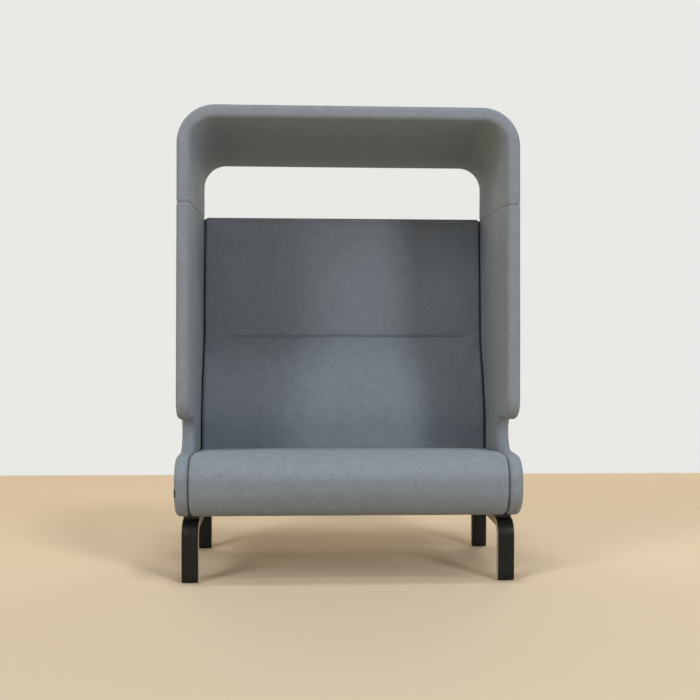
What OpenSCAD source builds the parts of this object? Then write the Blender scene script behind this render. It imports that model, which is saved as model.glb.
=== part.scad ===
// High-back sofa for two people. A firm seat and back stand between tall upholstered side panels,
// which carry a hood over the seat. The body rests on two bent laminated-wood leg frames.
// X runs from left to right, Y from front to back and Z up from the floor. The origin is on the
// floor, at the middle of the overall width and depth. Outlines are drawn by depth and height,
// where depth is counted backwards from the nose of the seat.

/* [Overall] */
// Width over the outer faces of the side panels
sofa_w = 1250; // [1000:10:1800]
// Depth from the seat nose to the rear edge of the side panels
sofa_d = 710; // [680:5:900]
// Height of the hood at its front edge
sofa_h = 1727; // [1640:1:1900]
// Height of the upholstered underside above the floor
body_z = 236; // [200:1:250]

/* [Side panels] */
// Thickness of a side panel over its upholstery
panel_t = 50; // [44:1:70]
// Thickness of the felt and foam on each face of a panel
pad_t = 14; // [8:1:16]
// Radius of the padded edges of the panels and the hood
edge_r = 16; // [8:1:20]
// Height of the underside of the side wings
wing_z = 584; // [550:1:640]
// Set-back of the wings' front edge from the seat nose, at the joint
wing_d = 94; // [60:1:130]
// Lean of the wings' front edge from the vertical, in degrees
wing_lean = 2.3; // [0:0.1:4]
// Radius of the wings' lower front corner
wing_r = 75; // [30:1:90]
// Depth of the arm notch from the seat nose to its innermost point
notch_d = 279; // [240:1:320]
// Upper radius of the nose of the seat and the panels
nose_top_r = 90; // [60:1:100]
// Lower radius of the nose of the seat and the panels
nose_low_r = 105; // [60:1:115]
// Radius of the panels' lower rear corner
rear_r = 40; // [25:1:80]

/* [Hood] */
// Height of the hood over its joint with the side panels
hood_h = 356; // [307:1:427]
// Outer radius of the hood's upper corners
hood_r = 140; // [100:1:170]
// Fall of the roof towards the back, in degrees
roof_fall = 9.1; // [4:0.1:10]
// Diameter of the dowels between the hood and the side panels
dowel_d = 10; // [8:1:12]
// Length of those dowels
dowel_l = 80; // [60:1:120]

/* [Seat] */
// Height of the seat at its front
seat_z = 460; // [430:1:480]
// Drop of the seat's top from its front to the back cushion
seat_drop = 26; // [0:1:40]
// Crown of the seat across its width
seat_crown = 3; // [0:1:8]
// Thickness of felt and wadding over the foam
skin_t = 8; // [6:1:9]
// Radius of the ends of the seat and back cushions
end_r = 14; // [10:1:18]

/* [Back] */
// Depth of the back at the seat, up to the panels' rear edge
back_d = 220; // [190:1:250]
// Thickness of the back at its top
back_top_t = 41; // [40:1:60]
// Set-back of the back's rear face from the panels' rear edge
back_inset = 5; // [2:1:20]
// Radius of the back's upper front edge
back_r = 16; // [10:1:20]
// Crown of the back across its width
back_crown = 3; // [0:1:8]
// Height of the sewn channel
channel_z = 880; // [840:1:920]
// Depth of the sewn channel
channel_deep = 5; // [2:1:6]
// Width of the sewn channel
channel_w = 18; // [10:1:30]
// Distance from the channel's ends to the ends of the back
channel_margin = 46; // [30:1:80]

/* [Leg frames] */
// Width of the bent strip
leg_w = 61; // [50:1:80]
// Thickness of the bent strip
leg_t = 28; // [22:1:32]
// Outer radius of the bends
bend_r = 58; // [45:1:70]
// Set-back of the leg frames from the outer faces of the side panels
leg_inset = 21; // [15:1:23]
// Set-back of the front legs from the seat nose
front_leg_d = 63; // [40:1:70]
// Set-back of the rear legs from the panels' rear edge
rear_leg_d = 46; // [30:1:60]
// Height of the spacers between a leg frame and the body
spacer_h = 14; // [8:1:20]
// Height of the floor glides
glide_h = 3; // [2:0.5:6]
// Diameter of the floor glides
glide_d = 22; // [16:1:26]

/* [Wooden frame] */
// Height of the base rails
rail_h = 80; // [70:1:90]
// Thickness of the base rails
rail_t = 24; // [22:1:26]
// Thickness of the ribs in the back
rib_t = 22; // [18:1:25]
// Least depth of a rib and depth of the back rails
rib_d = 20; // [18:1:20]
// Width of the webbing straps
strap_w = 60; // [50:1:65]
// Thickness of the webbing straps
strap_t = 2; // [1.5:0.5:3]
// Thickness of the board that closes the back
closing_t = 4; // [3:1:5]
// Thickness of the cloth under the seat
dust_t = 2; // [1:0.5:3]

/* [Hardware] */
// Diameter of the bolts
bolt_d = 8; // [6:1:8]
// Outer diameter of the threaded inserts
insert_d = 12; // [11:1:14]
// Length of the threaded inserts
insert_l = 18; // [15:1:20]
// Diameter of the bolt heads
head_d = 14; // [12:1:15]
// Height of the bolt heads
head_h = 4.5; // [3:0.5:6]
// Diameter of the washers
washer_d = 16; // [15:1:17]
// Thickness of the washers
washer_t = 1.6; // [1:0.1:2]

/* [Hidden] */

// Colours
felt = [0.47, 0.50, 0.54];
felt_dark = [0.38, 0.41, 0.46];
black_wood = [0.12, 0.12, 0.11];
pale_wood = [0.80, 0.68, 0.50];
foam = [0.93, 0.88, 0.72];
strap_grey = [0.30, 0.30, 0.32];
steel = [0.70, 0.71, 0.73];
black_plastic = [0.08, 0.08, 0.08];

// Smoothness of the round stretches
nose_steps = 9;
notch_steps = 12;
wing_steps = 7;
corner_steps = 4;
hood_steps = 9;
fine_fn = 48;
bend_fn = 96;

// One overrun serves every cut
over = 1;

// Body planes
joint_z = sofa_h - hood_h;
seat_d = sofa_d - back_d;
half_w = sofa_w / 2;
inner_half = half_w - panel_t;
board_out = half_w - pad_t;
board_in = inner_half + pad_t;
board_mid = (board_out + board_in) / 2;
fall = tan(roof_fall);
lean = tan(wing_lean);

// Distance between the panels and the wooden frame inside the seat and the back
core_gap = 8;
core_half = inner_half - core_gap;
// Running gaps of the two cushions to the side panels
seat_gap = 1;
back_gap = 4;
seat_half = inner_half - seat_gap;
back_half = inner_half - back_gap;

// Leg frames
leg_out = half_w - leg_inset;
leg_in = leg_out - leg_w;
leg_mid = (leg_out + leg_in) / 2;
rail_top = body_z - spacer_h;
rail_low = rail_top - leg_t;
rear_leg = sofa_d - rear_leg_d;
spacer_margin = 2;
spacer_d = 66;
glide_pin_d = 4;
glide_pin_l = 16;
bolt_pitch = 34;
// Depths of the leg bolts, in pairs at the front and rear spacers
spacer_front = front_leg_d + bend_r;
spacer_rear = rear_leg - bend_r - spacer_d;
leg_bolt_ds = [
    for (d = [spacer_front, spacer_rear], s = [-1, 1]) d + spacer_d / 2 + s * bolt_pitch / 2
];

// Base frame
base_z = body_z + dust_t;
base_top = base_z + rail_h;
base_front = nose_low_r;
back_rear = sofa_d - back_inset;
closing_d = back_rear - closing_t;
block_l = 60;
base_rail_in = core_half - rail_t;
leg_bolt_x = core_half - rail_t / 2;
hole_play = 1;
hole_d = bolt_d + hole_play;

// Seat
web_z = base_top + strap_t;
seat_rear_z = seat_z - seat_drop;
// Where the seat's top begins to fall
seat_fall_d = 169;
strap_gap = 9;
strap_first = base_front + rail_t;
strap_run = seat_d - rail_t - strap_first;
seat_straps = floor((strap_run + strap_gap) / (strap_w + strap_gap));

// Notch and wing corner
notch_r = (wing_z - seat_z) / 2;
notch_c = [notch_d - notch_r, seat_z + notch_r];
wing_cz = wing_z + wing_r;
wing_c = [wing_front(wing_cz) + wing_r / cos(wing_lean), wing_cz];

// Back: heights as shares of the way from the seat to the top, depths as shares of the way back
back_front_shares = [
    [0, 0], [0.05, 0.04], [0.12, 0.045], [0.16, 0.09], [0.205, 0.165], [0.29, 0.315], [0.375, 0.53],
    [0.45, 0.71], [0.50, 0.775], [0.635, 0.815], [0.77, 0.89], [0.905, 0.97], [0.98, 1]
];
crown_shares = [[0, 0], [0.12, 1], [0.9, 1], [0.98, 0]];
back_rear_r = 4;
least_r = 1;
back_top_d = back_rear - back_top_t;
rib_set = 50;
cavity_z = joint_z - skin_t;
back_heights = [for (p = back_front_shares) seat_rear_z + p[0] * (joint_z - seat_rear_z)];
channel_heights = [channel_z - channel_w / 2, channel_z, channel_z + channel_w / 2];
lower_heights = [for (z = back_heights) if (z < channel_heights[0] - channel_w / 2) z];
upper_heights = [
    for (z = back_heights) if (z > channel_heights[2] + channel_w / 2 && z < joint_z - back_r) z
];
front_heights = concat(lower_heights, channel_heights, upper_heights);
rib_heights = concat([base_top], lower_heights, upper_heights, [cavity_z]);
rib_table = [for (z = rib_heights) [z, min(back_front(z) + rib_set, closing_d - rib_d)]];
top_rail_h = 70;
top_rail_z = cavity_z - top_rail_h;
middle_rail_h = 70;
back_straps = 7;
strap_start = 30;

// Bolts that pass sideways from the frame into the side boards
side_bolt_z = base_z + rail_h / 2;
// Distance of a side bolt from the corner block or the rail next to it
bolt_set = 35;
seat_bolt_ds = [base_front + rail_t + block_l + bolt_set, seat_d - rail_t - bolt_set];
rear_bolt_d = (seat_d + closing_d - rail_t - block_l) / 2;
side_bolt_ds = concat(seat_bolt_ds, [rear_bolt_d]);
back_bolt_shares = [0.18, 0.42, 0.85];
back_bolt_zs = [for (s = back_bolt_shares) base_top + s * (cavity_z - base_top)];
insert_margin = 1;
thread_play = 2;

// Dowels stand in the middle of the side boards
dowel_shares = [0.15, 0.5, 0.85];
dowel_ds = [for (s = dowel_shares) wing_d + pad_t + s * (sofa_d - wing_d - 2 * pad_t)];

// Blank tab sewn into the left panel's front seam
tab_z = 321;
tab_h = 28;
tab_t = 1.2;
tab_out = 4;
tab_root = 4;

// Geometry helpers
function arc(c, r, from, to, steps) = [
    for (i = [0:steps]) let (a = from + (to - from) * i / steps) [c[0] + r * cos(a), c[1] + r * sin(a)]
];
function reversed(list) = [for (i = [len(list) - 1:-1:0]) list[i]];
// Depth and inset of a point on a rounded edge of radius r, by its angle from the flat face
function round_in(r, a) = r * (1 - cos(a));
function round_inset(r, a) = r * (1 - sin(a));

// Front edge of the wings and the hood at a height
function wing_front(z) = wing_d + (z - joint_z) * lean;
// Front face of the back at a height
function back_share(z) = (z - seat_rear_z) / (joint_z - seat_rear_z);
function back_front(z) = seat_d + (back_top_d - seat_d) * lookup(back_share(z), back_front_shares);
function rib_front(z) = lookup(z, rib_table);
// A bolt lies in the middle of its rib, or where its insert still fits in the side board
function back_bolt_d(z) = min(
    (rib_front(z) + closing_d) / 2,
    sofa_d - pad_t - insert_d / 2 - insert_margin
);
// Heights at which the rib line bends between two heights, with both ends
function rib_span(low, high) = concat([low], [for (z = rib_heights) if (z > low && z < high) z], [high]);
// Outline of a side panel, drawn in by inset
function side_outline(inset, top = joint_z) = concat(
    arc([nose_low_r, body_z + nose_low_r], nose_low_r - inset, 270, 180, nose_steps),
    arc([nose_top_r, seat_z - nose_top_r], nose_top_r - inset, 180, 90, nose_steps),
    arc(notch_c, notch_r + inset, -90, 90, notch_steps),
    arc(wing_c, wing_r - inset, 270, 180 - wing_lean, wing_steps),
    [[wing_front(top) + inset / cos(wing_lean), top], [sofa_d - inset, top]],
    arc([sofa_d - rear_r, body_z + rear_r], rear_r - inset, 0, -90, wing_steps)
);
// Height of the seat's top, lowered by inset and raised by the crown
function seat_line(inset, rise) = [
    [seat_fall_d, seat_z - inset + rise],
    [seat_d, seat_rear_z - inset + rise]
];
// Nose and top of the seat, from the underside to the back
function seat_outline(inset, rise) = concat(
    arc([nose_low_r, body_z + nose_low_r], nose_low_r - inset, 270, 180, nose_steps),
    [
        for (p = arc([nose_top_r, seat_z - nose_top_r], nose_top_r - inset, 180, 90, nose_steps))
            [p[0], p[1] + rise * (p[1] - seat_z + nose_top_r) / (nose_top_r - inset)]
    ],
    seat_line(inset, rise)
);

// Triangles of a skin through rings of n points each, counted from a first point
function strip_faces(n, rings, first = 0) = [
    for (k = [0:rings - 2], i = [0:n - 1])
        let (a = first + k * n + i, b = first + k * n + (i + 1) % n)
        each [[a, b, b + n], [a, b + n, a + n]]
];
function flipped(faces) = [for (f = faces) reversed(f)];
function end_caps(n, rings) = [[for (i = [n - 1:-1:0]) i], [for (i = [0:n - 1]) (rings - 1) * n + i]];

// A closed skin through rings that stand one after the other along X
module skin(rings) {
    n = len(rings[0]);
    polyhedron(
        points = [for (ring = rings) each ring],
        faces = concat(strip_faces(n, len(rings)), end_caps(n, len(rings)))
    );
}

// Depths become Y, counted from the middle of the sofa
module placed() {
    translate([0, -sofa_d / 2, 0]) children();
}
// The children stand on the right-hand side, and the left-hand one is their mirror image
module side(s) {
    placed() mirror([s < 0 ? 1 : 0, 0, 0]) children();
}
module both_sides() {
    for (s = [-1, 1]) side(s) children();
}
// An outline in depth and height, run across the sofa from one X to another
module across(from, to) {
    translate([from, 0, 0]) rotate([90, 0, 90]) linear_extrude(to - from) children();
}
module block(low, high) {
    translate(low) cube(high - low);
}
// A rod along X or Z from a starting point
module rod_x(at, d, l) {
    translate(at) rotate([0, 90, 0]) cylinder(d = d, h = l, $fn = fine_fn);
}
module rod_z(at, d, l) {
    translate(at) cylinder(d = d, h = l, $fn = fine_fn);
}

// A bolt hole through the end wall of a cushion that reaches half its width to either side
module end_hole(s, cushion_half, d, z) {
    rod_x([s * (core_half + cushion_half) / 2 - core_gap, d, z], hole_d, 2 * core_gap);
}

// Leg frames
module arch(front, rear, top, r, foot) {
    translate([front, foot]) square([rear - front, top - r - foot]);
    translate([front + r, foot]) square([rear - front - 2 * r, top - foot]);
    for (d = [front + r, rear - r]) translate([d, top - r]) circle(r, $fn = bend_fn);
}
module leg_frame(s) {
    color(black_wood) side(s) difference() {
        across(leg_in, leg_out) difference() {
            arch(front_leg_d, rear_leg, rail_top, bend_r, glide_h);
            arch(front_leg_d + leg_t, rear_leg - leg_t, rail_low, bend_r - leg_t, glide_h - over);
        }
        for (d = leg_bolt_ds) rod_z([leg_bolt_x, d, rail_low - over], hole_d, leg_t + 2 * over);
        for (d = [front_leg_d, rear_leg - leg_t])
            rod_z([leg_mid, d + leg_t / 2, glide_h - over], glide_pin_d, glide_pin_l + over);
    }
}
module floor_glides() {
    color(black_plastic) both_sides() for (d = [front_leg_d, rear_leg - leg_t]) {
        rod_z([leg_mid, d + leg_t / 2, 0], glide_d, glide_h);
        rod_z([leg_mid, d + leg_t / 2, 0], glide_pin_d, glide_h + glide_pin_l);
    }
}
module rail_spacers() {
    color(black_plastic) both_sides() difference() {
        for (d = [spacer_front, spacer_rear])
            block([leg_in + spacer_margin, d, rail_top], [leg_out - spacer_margin, d + spacer_d, body_z]);
        for (d = leg_bolt_ds) rod_z([leg_bolt_x, d, rail_top - over], hole_d, spacer_h + 2 * over);
    }
}
module leg_bolts() {
    shank = washer_t + leg_t + spacer_h + dust_t + insert_l - thread_play;
    color(steel) both_sides() for (d = leg_bolt_ds) {
        rod_z([leg_bolt_x, d, rail_low - washer_t - head_h], head_d, head_h);
        rod_z([leg_bolt_x, d, rail_low - washer_t], bolt_d, shank);
    }
}
module leg_washers() {
    color(steel) both_sides() for (d = leg_bolt_ds) difference() {
        rod_z([leg_bolt_x, d, rail_low - washer_t], washer_d, washer_t);
        rod_z([leg_bolt_x, d, rail_low - washer_t - over], hole_d, washer_t + 2 * over);
    }
}
module leg_inserts() {
    color(steel) both_sides() for (d = leg_bolt_ds) difference() {
        rod_z([leg_bolt_x, d, base_z], insert_d, insert_l);
        rod_z([leg_bolt_x, d, base_z - over], bolt_d, insert_l + 2 * over);
    }
}

// Wooden base frame
module base_side_rail(s) {
    color(pale_wood) side(s) difference() {
        block([base_rail_in, base_front, base_z], [core_half, closing_d, base_top]);
        for (d = leg_bolt_ds) rod_z([leg_bolt_x, d, base_z - over], insert_d, insert_l + over);
        for (d = side_bolt_ds) rod_x([base_rail_in - over, d, side_bolt_z], hole_d, rail_t + 2 * over);
    }
}
module base_cross_rail(front) {
    color(pale_wood) placed()
        block([-base_rail_in, front, base_z], [base_rail_in, front + rail_t, base_top]);
}
module base_centre_rail() {
    color(pale_wood) placed()
        block([-rail_t / 2, base_front + rail_t, base_z], [rail_t / 2, seat_d - rail_t, base_top]);
}
module base_corner_blocks() {
    front = base_front + rail_t;
    rear = closing_d - rail_t;
    color(pale_wood) both_sides() translate([0, 0, base_z]) linear_extrude(rail_h) {
        polygon([[base_rail_in, front], [base_rail_in - block_l, front], [base_rail_in, front + block_l]]);
        polygon([[base_rail_in, rear], [base_rail_in - block_l, rear], [base_rail_in, rear - block_l]]);
    }
}
module dust_cover() {
    color(black_plastic) placed() difference() {
        block([-core_half, base_front, body_z], [core_half, closing_d, base_z]);
        for (s = [-1, 1], d = leg_bolt_ds)
            rod_z([s * leg_bolt_x, d, body_z - over], hole_d, dust_t + 2 * over);
    }
}

// Seat
module seat_webbing() {
    pitch = (strap_run - strap_w) / (seat_straps - 1);
    color(strap_grey) placed() for (i = [0:seat_straps - 1]) {
        d = strap_first + i * pitch;
        block([-core_half, d, base_top], [core_half, d + strap_w, web_z]);
    }
}
module seat_foam() {
    color(foam) placed() across(-core_half, core_half)
        polygon(concat(seat_outline(skin_t, 0), [[seat_d, web_z], [base_front, web_z]]));
}
module seat_space() {
    across(-core_half, core_half) polygon(concat(
        seat_outline(skin_t, 0),
        [[seat_d + over, seat_rear_z - skin_t], [seat_d + over, body_z - over], [base_front, body_z - over]]
    ));
}
// Rings of the seat cover: its rounded ends, and the crowned stretch between them
seat_flat = seat_half - end_r;
seat_shares = [-0.66, -0.33, 0, 0.33, 0.66];
seat_stations = concat(
    [for (a = [0:corner_steps]) [-seat_half + round_in(end_r, 90 * a / corner_steps),
        round_inset(end_r, 90 * a / corner_steps)]],
    [for (share = seat_shares) [share * seat_flat, 0]],
    [for (a = [corner_steps:-1:0]) [seat_half - round_in(end_r, 90 * a / corner_steps),
        round_inset(end_r, 90 * a / corner_steps)]]
);
function crown(x, flat, height) = height * max(0, 1 - pow(x / flat, 2));
module seat_cover() {
    color(felt) placed() difference() {
        skin([
            for (s = seat_stations)
                let (rise = crown(s[0], seat_flat, seat_crown), low = body_z + s[1])
                [for (p = concat(seat_outline(s[1], rise), [[seat_d, low]])) [s[0], p[0], p[1]]]
        ]);
        seat_space();
        for (s = [-1, 1], d = seat_bolt_ds) end_hole(s, seat_half, d, side_bolt_z);
    }
}

// Back
module rib(low, high) {
    span = rib_span(low, high);
    polygon(concat([for (z = span) [rib_front(z), z]], [[closing_d, high], [closing_d, low]]));
}
module back_side_rib(s) {
    color(pale_wood) side(s) difference() {
        across(core_half - rib_t, core_half) rib(base_top, cavity_z);
        for (z = back_bolt_zs)
            rod_x([core_half - rib_t - over, back_bolt_d(z), z], hole_d, rib_t + 2 * over);
    }
}
module back_centre_rib() {
    color(pale_wood) placed() across(-rib_t / 2, rib_t / 2) rib(base_top, top_rail_z);
}
module back_top_rail() {
    rail_half = core_half - rib_t;
    color(pale_wood) placed()
        block([-rail_half, closing_d - rib_d, top_rail_z], [rail_half, closing_d, cavity_z]);
}
module back_middle_rails() {
    color(pale_wood) both_sides() block(
        [rib_t / 2, closing_d - rib_d, channel_z - middle_rail_h / 2],
        [core_half - rib_t, closing_d, channel_z + middle_rail_h / 2]
    );
}
module back_webbing() {
    first = base_top + strap_start;
    pitch = (top_rail_z - strap_w - first) / (back_straps - 1);
    color(strap_grey) placed() for (i = [0:back_straps - 1]) {
        span = rib_span(first + i * pitch, first + i * pitch + strap_w);
        across(-core_half, core_half) polygon(concat(
            [for (z = span) [rib_front(z), z]],
            [for (z = reversed(span)) [rib_front(z) - strap_t, z]]
        ));
    }
}
function foam_front(z) = back_front(z) + skin_t;
module back_foam() {
    span = rib_span(web_z, cavity_z);
    color(foam) placed() across(-core_half, core_half) polygon(concat(
        [for (z = span) [foam_front(z), z]],
        [for (z = reversed(span)) [rib_front(z) - strap_t, z]]
    ));
}
module back_space() {
    span = rib_span(web_z, cavity_z);
    across(-core_half, core_half) polygon(concat(
        [for (z = span) [foam_front(z), z]],
        [[sofa_d, cavity_z], [sofa_d, body_z - over], [seat_d - over, body_z - over], [seat_d - over, web_z]]
    ));
}
// A round corner of the back, at a depth and height that are drawn in by inset
function back_corner(d, r, inset, toward, from, to) =
    let (left = max(r - inset, least_r))
    arc([d + toward * (inset + left), joint_z - inset - left], left, from, to, corner_steps);
// Front, top and rear of the back, from its lower front edge round to its lower rear edge
function back_outline(inset, swell, groove) = concat(
    [[seat_d + inset, body_z + inset]],
    [
        for (z = front_heights) [
            back_front(z) + inset - swell * lookup(back_share(z), crown_shares)
                + (z == channel_z ? groove : 0),
            z
        ]
    ],
    back_corner(back_top_d, back_r, inset, 1, 180, 90),
    back_corner(back_rear, back_rear_r, inset, -1, 90, 0),
    [[back_rear - inset, body_z + inset]]
);
back_flat = back_half - end_r;
back_shares = [-0.5, 0, 0.5];
channel_end = back_half - channel_margin;
channel_fade = 30;
back_stations = concat(
    [for (a = [0:corner_steps]) [-back_half + round_in(end_r, 90 * a / corner_steps),
        round_inset(end_r, 90 * a / corner_steps), 0]],
    [[-channel_end, 0, 0], [-channel_end + channel_fade, 0, 1]],
    [for (share = back_shares) [share * back_flat, 0, 1]],
    [[channel_end - channel_fade, 0, 1], [channel_end, 0, 0]],
    [for (a = [corner_steps:-1:0]) [back_half - round_in(end_r, 90 * a / corner_steps),
        round_inset(end_r, 90 * a / corner_steps), 0]]
);
module back_cover() {
    color(felt_dark) placed() difference() {
        skin([
            for (s = back_stations)
                let (swell = crown(s[0], back_flat, back_crown))
                [for (p = back_outline(s[1], swell, s[2] * channel_deep)) [s[0], p[0], p[1]]]
        ]);
        back_space();
        for (s = [-1, 1]) {
            end_hole(s, back_half, rear_bolt_d, side_bolt_z);
            for (z = back_bolt_zs) end_hole(s, back_half, back_bolt_d(z), z);
        }
    }
}
module back_closing_board() {
    color(felt_dark) placed() block([-core_half, closing_d, base_z], [core_half, back_rear, cavity_z]);
}

// Side panels
module side_board(s) {
    color(pale_wood) side(s) difference() {
        across(board_in, board_out) polygon(side_outline(pad_t));
        for (d = side_bolt_ds) rod_x([board_in - over, d, side_bolt_z], insert_d, insert_l + over);
        for (z = back_bolt_zs) rod_x([board_in - over, back_bolt_d(z), z], insert_d, insert_l + over);
        for (d = dowel_ds) rod_z([board_mid, d, joint_z - dowel_l / 2], dowel_d, dowel_l / 2 + over);
    }
}
side_stations = concat(
    [for (a = [0:corner_steps]) [round_in(edge_r, 90 * a / corner_steps),
        round_inset(edge_r, 90 * a / corner_steps)]],
    [for (a = [corner_steps:-1:0]) [panel_t - round_in(edge_r, 90 * a / corner_steps),
        round_inset(edge_r, 90 * a / corner_steps)]]
);
module side_cover(s) {
    color(felt) side(s) difference() {
        skin([for (t = side_stations) [for (p = side_outline(t[1])) [inner_half + t[0], p[0], p[1]]]]);
        across(board_in, board_out) polygon(side_outline(pad_t, joint_z + over));
        for (d = side_bolt_ds) rod_x([inner_half - over, d, side_bolt_z], hole_d, pad_t + 2 * over);
        for (z = back_bolt_zs) rod_x([inner_half - over, back_bolt_d(z), z], hole_d, pad_t + 2 * over);
        if (s < 0) tab_body();
    }
}
// The tab leaves the rounded edge of the outer front corner at half a right angle
module tab_body() {
    slant = edge_r * (1 - cos(45));
    translate([half_w - slant, slant, tab_z]) rotate([0, 0, -45])
        translate([-tab_root, -tab_t / 2, 0]) cube([tab_root + tab_out, tab_t, tab_h]);
}
module side_tab() {
    color(black_plastic) side(-1) tab_body();
}

// Hood. A station holds X, Z, the inward normal and how far the roof's fall applies there
hood_c = [half_w - hood_r, sofa_h - hood_r];
hood_half = [
    for (a = [0:hood_steps]) let (w = 90 * a / hood_steps)
        [hood_c[0] + hood_r * cos(w), hood_c[1] + hood_r * sin(w), -cos(w), -sin(w), 1]
];
hood_right = concat([[half_w, joint_z, -1, 0, 0]], hood_half);
function mirrored(st) = [-st[0], st[1], -st[2], st[3], st[4]];
hood_stations = concat(hood_right, [for (st = reversed(hood_right)) mirrored(st)]);
// A point of the hood at depth d and at t below its outer face
function hood_point(st, t, d) = [
    st[0] + t * st[2],
    d,
    st[1] + t * st[3] - st[4] * fall * (d - edge_r - wing_front(st[1]))
];
function hood_front(st, t) = wing_front(st[1] + t * st[3]);
// One ring round the padded section, as points of thickness, inset and end
edge_angles = [for (a = [0:corner_steps]) 90 * a / corner_steps];
hood_ring = concat(
    [for (a = edge_angles) [round_in(edge_r, a), round_inset(edge_r, a), 0]],
    [for (a = reversed(edge_angles)) [panel_t - round_in(edge_r, a), round_inset(edge_r, a), 0]],
    [for (a = edge_angles) [panel_t - round_in(edge_r, a), round_inset(edge_r, a), 1]],
    [for (a = reversed(edge_angles)) [round_in(edge_r, a), round_inset(edge_r, a), 1]]
);
core_ring = [
    [pad_t, pad_t / cos(wing_lean), 0], [panel_t - pad_t, pad_t / cos(wing_lean), 0],
    [panel_t - pad_t, pad_t, 1], [pad_t, pad_t, 1]
];
function hood_points(ring) = [
    for (st = hood_stations, p = ring)
        hood_point(st, p[0], p[2] == 0 ? hood_front(st, p[0]) + p[1] : sofa_d - p[1])
];
module hood_shell() {
    rings = len(hood_stations);
    n = len(core_ring);
    color(pale_wood) placed() difference() {
        polyhedron(
            points = hood_points(core_ring),
            faces = concat(strip_faces(n, rings), end_caps(n, rings))
        );
        for (s = [-1, 1], d = dowel_ds)
            rod_z([s * board_mid, d, joint_z - over], dowel_d, dowel_l / 2 + over);
    }
}
// The cover is one skin: outside, a channel for the shell, and a rim where it meets the side panels
module hood_cover() {
    rings = len(hood_stations);
    n = len(hood_ring);
    m = len(core_ring);
    corner = n / m;
    inner = rings * n;
    rim = [
        for (k = [0:m - 1], i = [0:corner - 1])
            let (a = k * corner + i, b = (a + 1) % n, c = inner + k)
            each i < corner - 1 ? [[a, c, b]] : [[a, c, inner + (k + 1) % m], [a, inner + (k + 1) % m, b]]
    ];
    far_n = (rings - 1) * n;
    far_m = (rings - 1) * m;
    far_rim = [for (f = rim) reversed([for (v = f) v < inner ? v + far_n : v + far_m])];
    color(felt) placed() polyhedron(
        points = concat(hood_points(hood_ring), hood_points(core_ring)),
        faces = concat(strip_faces(n, rings), flipped(strip_faces(m, rings, inner)), rim, far_rim)
    );
}
module hood_dowels() {
    color(pale_wood) both_sides() for (d = dowel_ds)
        rod_z([board_mid, d, joint_z - dowel_l / 2], dowel_d, dowel_l);
}

// Sideways bolts, with their heads inside the wooden frame
module cross_bolt(from, d, z) {
    rod_x([from - head_h, d, z], head_d, head_h);
    rod_x([from, d, z], bolt_d, board_in + insert_l - thread_play - from);
}
module cross_insert(d, z) {
    difference() {
        rod_x([board_in, d, z], insert_d, insert_l);
        rod_x([board_in - over, d, z], bolt_d, insert_l + 2 * over);
    }
}
module side_bolts() {
    color(steel) both_sides() for (d = side_bolt_ds) cross_bolt(base_rail_in, d, side_bolt_z);
}
module side_inserts() {
    color(steel) both_sides() for (d = side_bolt_ds) cross_insert(d, side_bolt_z);
}
module back_bolts() {
    color(steel) both_sides() for (z = back_bolt_zs) cross_bolt(core_half - rib_t, back_bolt_d(z), z);
}
module back_inserts() {
    color(steel) both_sides() for (z = back_bolt_zs) cross_insert(back_bolt_d(z), z);
}

leg_frame(-1);  // left_leg_frame
leg_frame(1);  // right_leg_frame
floor_glides();
rail_spacers();
leg_bolts();
leg_washers();
leg_inserts();
base_side_rail(-1);  // base_left_rail
base_side_rail(1);  // base_right_rail
base_cross_rail(base_front);  // base_front_rail
base_cross_rail(seat_d - rail_t);  // base_middle_rail
base_cross_rail(closing_d - rail_t);  // base_rear_rail
base_centre_rail();
base_corner_blocks();
seat_webbing();
seat_foam();
seat_cover();
dust_cover();
back_side_rib(-1);  // back_left_rib
back_side_rib(1);  // back_right_rib
back_centre_rib();
back_top_rail();
back_middle_rails();
back_webbing();
back_foam();
back_cover();
back_closing_board();
side_board(-1);  // left_side_board
side_board(1);  // right_side_board
side_cover(-1);  // left_side_cover
side_cover(1);  // right_side_cover
hood_shell();
hood_cover();
hood_dowels();
side_bolts();
side_inserts();
back_bolts();
back_inserts();
side_tab();
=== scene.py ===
"""High-back sofa: felt upholstery, bent laminated legs and fixings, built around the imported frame.

Depths are counted backwards from the nose of the seat and heights up from the floor, in metres.
"""

from math import atan2, copysign, cos, exp, hypot, pi, radians, sin, tan, tanh

import bmesh
import bpy
from bpy.props import FloatProperty, FloatVectorProperty, PointerProperty
from mathutils import Matrix, Vector, noise


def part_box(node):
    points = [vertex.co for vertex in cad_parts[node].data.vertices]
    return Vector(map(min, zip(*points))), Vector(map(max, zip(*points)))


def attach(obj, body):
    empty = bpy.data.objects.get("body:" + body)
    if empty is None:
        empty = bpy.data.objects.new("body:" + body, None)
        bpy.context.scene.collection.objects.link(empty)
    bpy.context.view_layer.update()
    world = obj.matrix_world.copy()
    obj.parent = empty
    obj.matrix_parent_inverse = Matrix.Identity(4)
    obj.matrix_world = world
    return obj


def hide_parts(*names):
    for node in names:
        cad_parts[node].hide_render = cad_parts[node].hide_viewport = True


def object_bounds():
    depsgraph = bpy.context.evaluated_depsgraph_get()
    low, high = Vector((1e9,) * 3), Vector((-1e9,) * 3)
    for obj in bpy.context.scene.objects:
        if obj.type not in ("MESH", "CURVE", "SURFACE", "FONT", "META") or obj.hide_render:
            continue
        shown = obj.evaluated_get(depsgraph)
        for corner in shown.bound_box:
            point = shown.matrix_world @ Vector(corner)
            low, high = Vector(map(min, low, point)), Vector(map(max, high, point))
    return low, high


bl_info = {
    "name": "High-back sofa",
    "version": (1, 0, 0),
    "blender": (4, 5, 0),
    "location": "View3D > Sidebar > Sofa",
    "description": "Upholsters and finishes a high-back sofa around its packed frame",
    "category": "Object",
}

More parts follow.
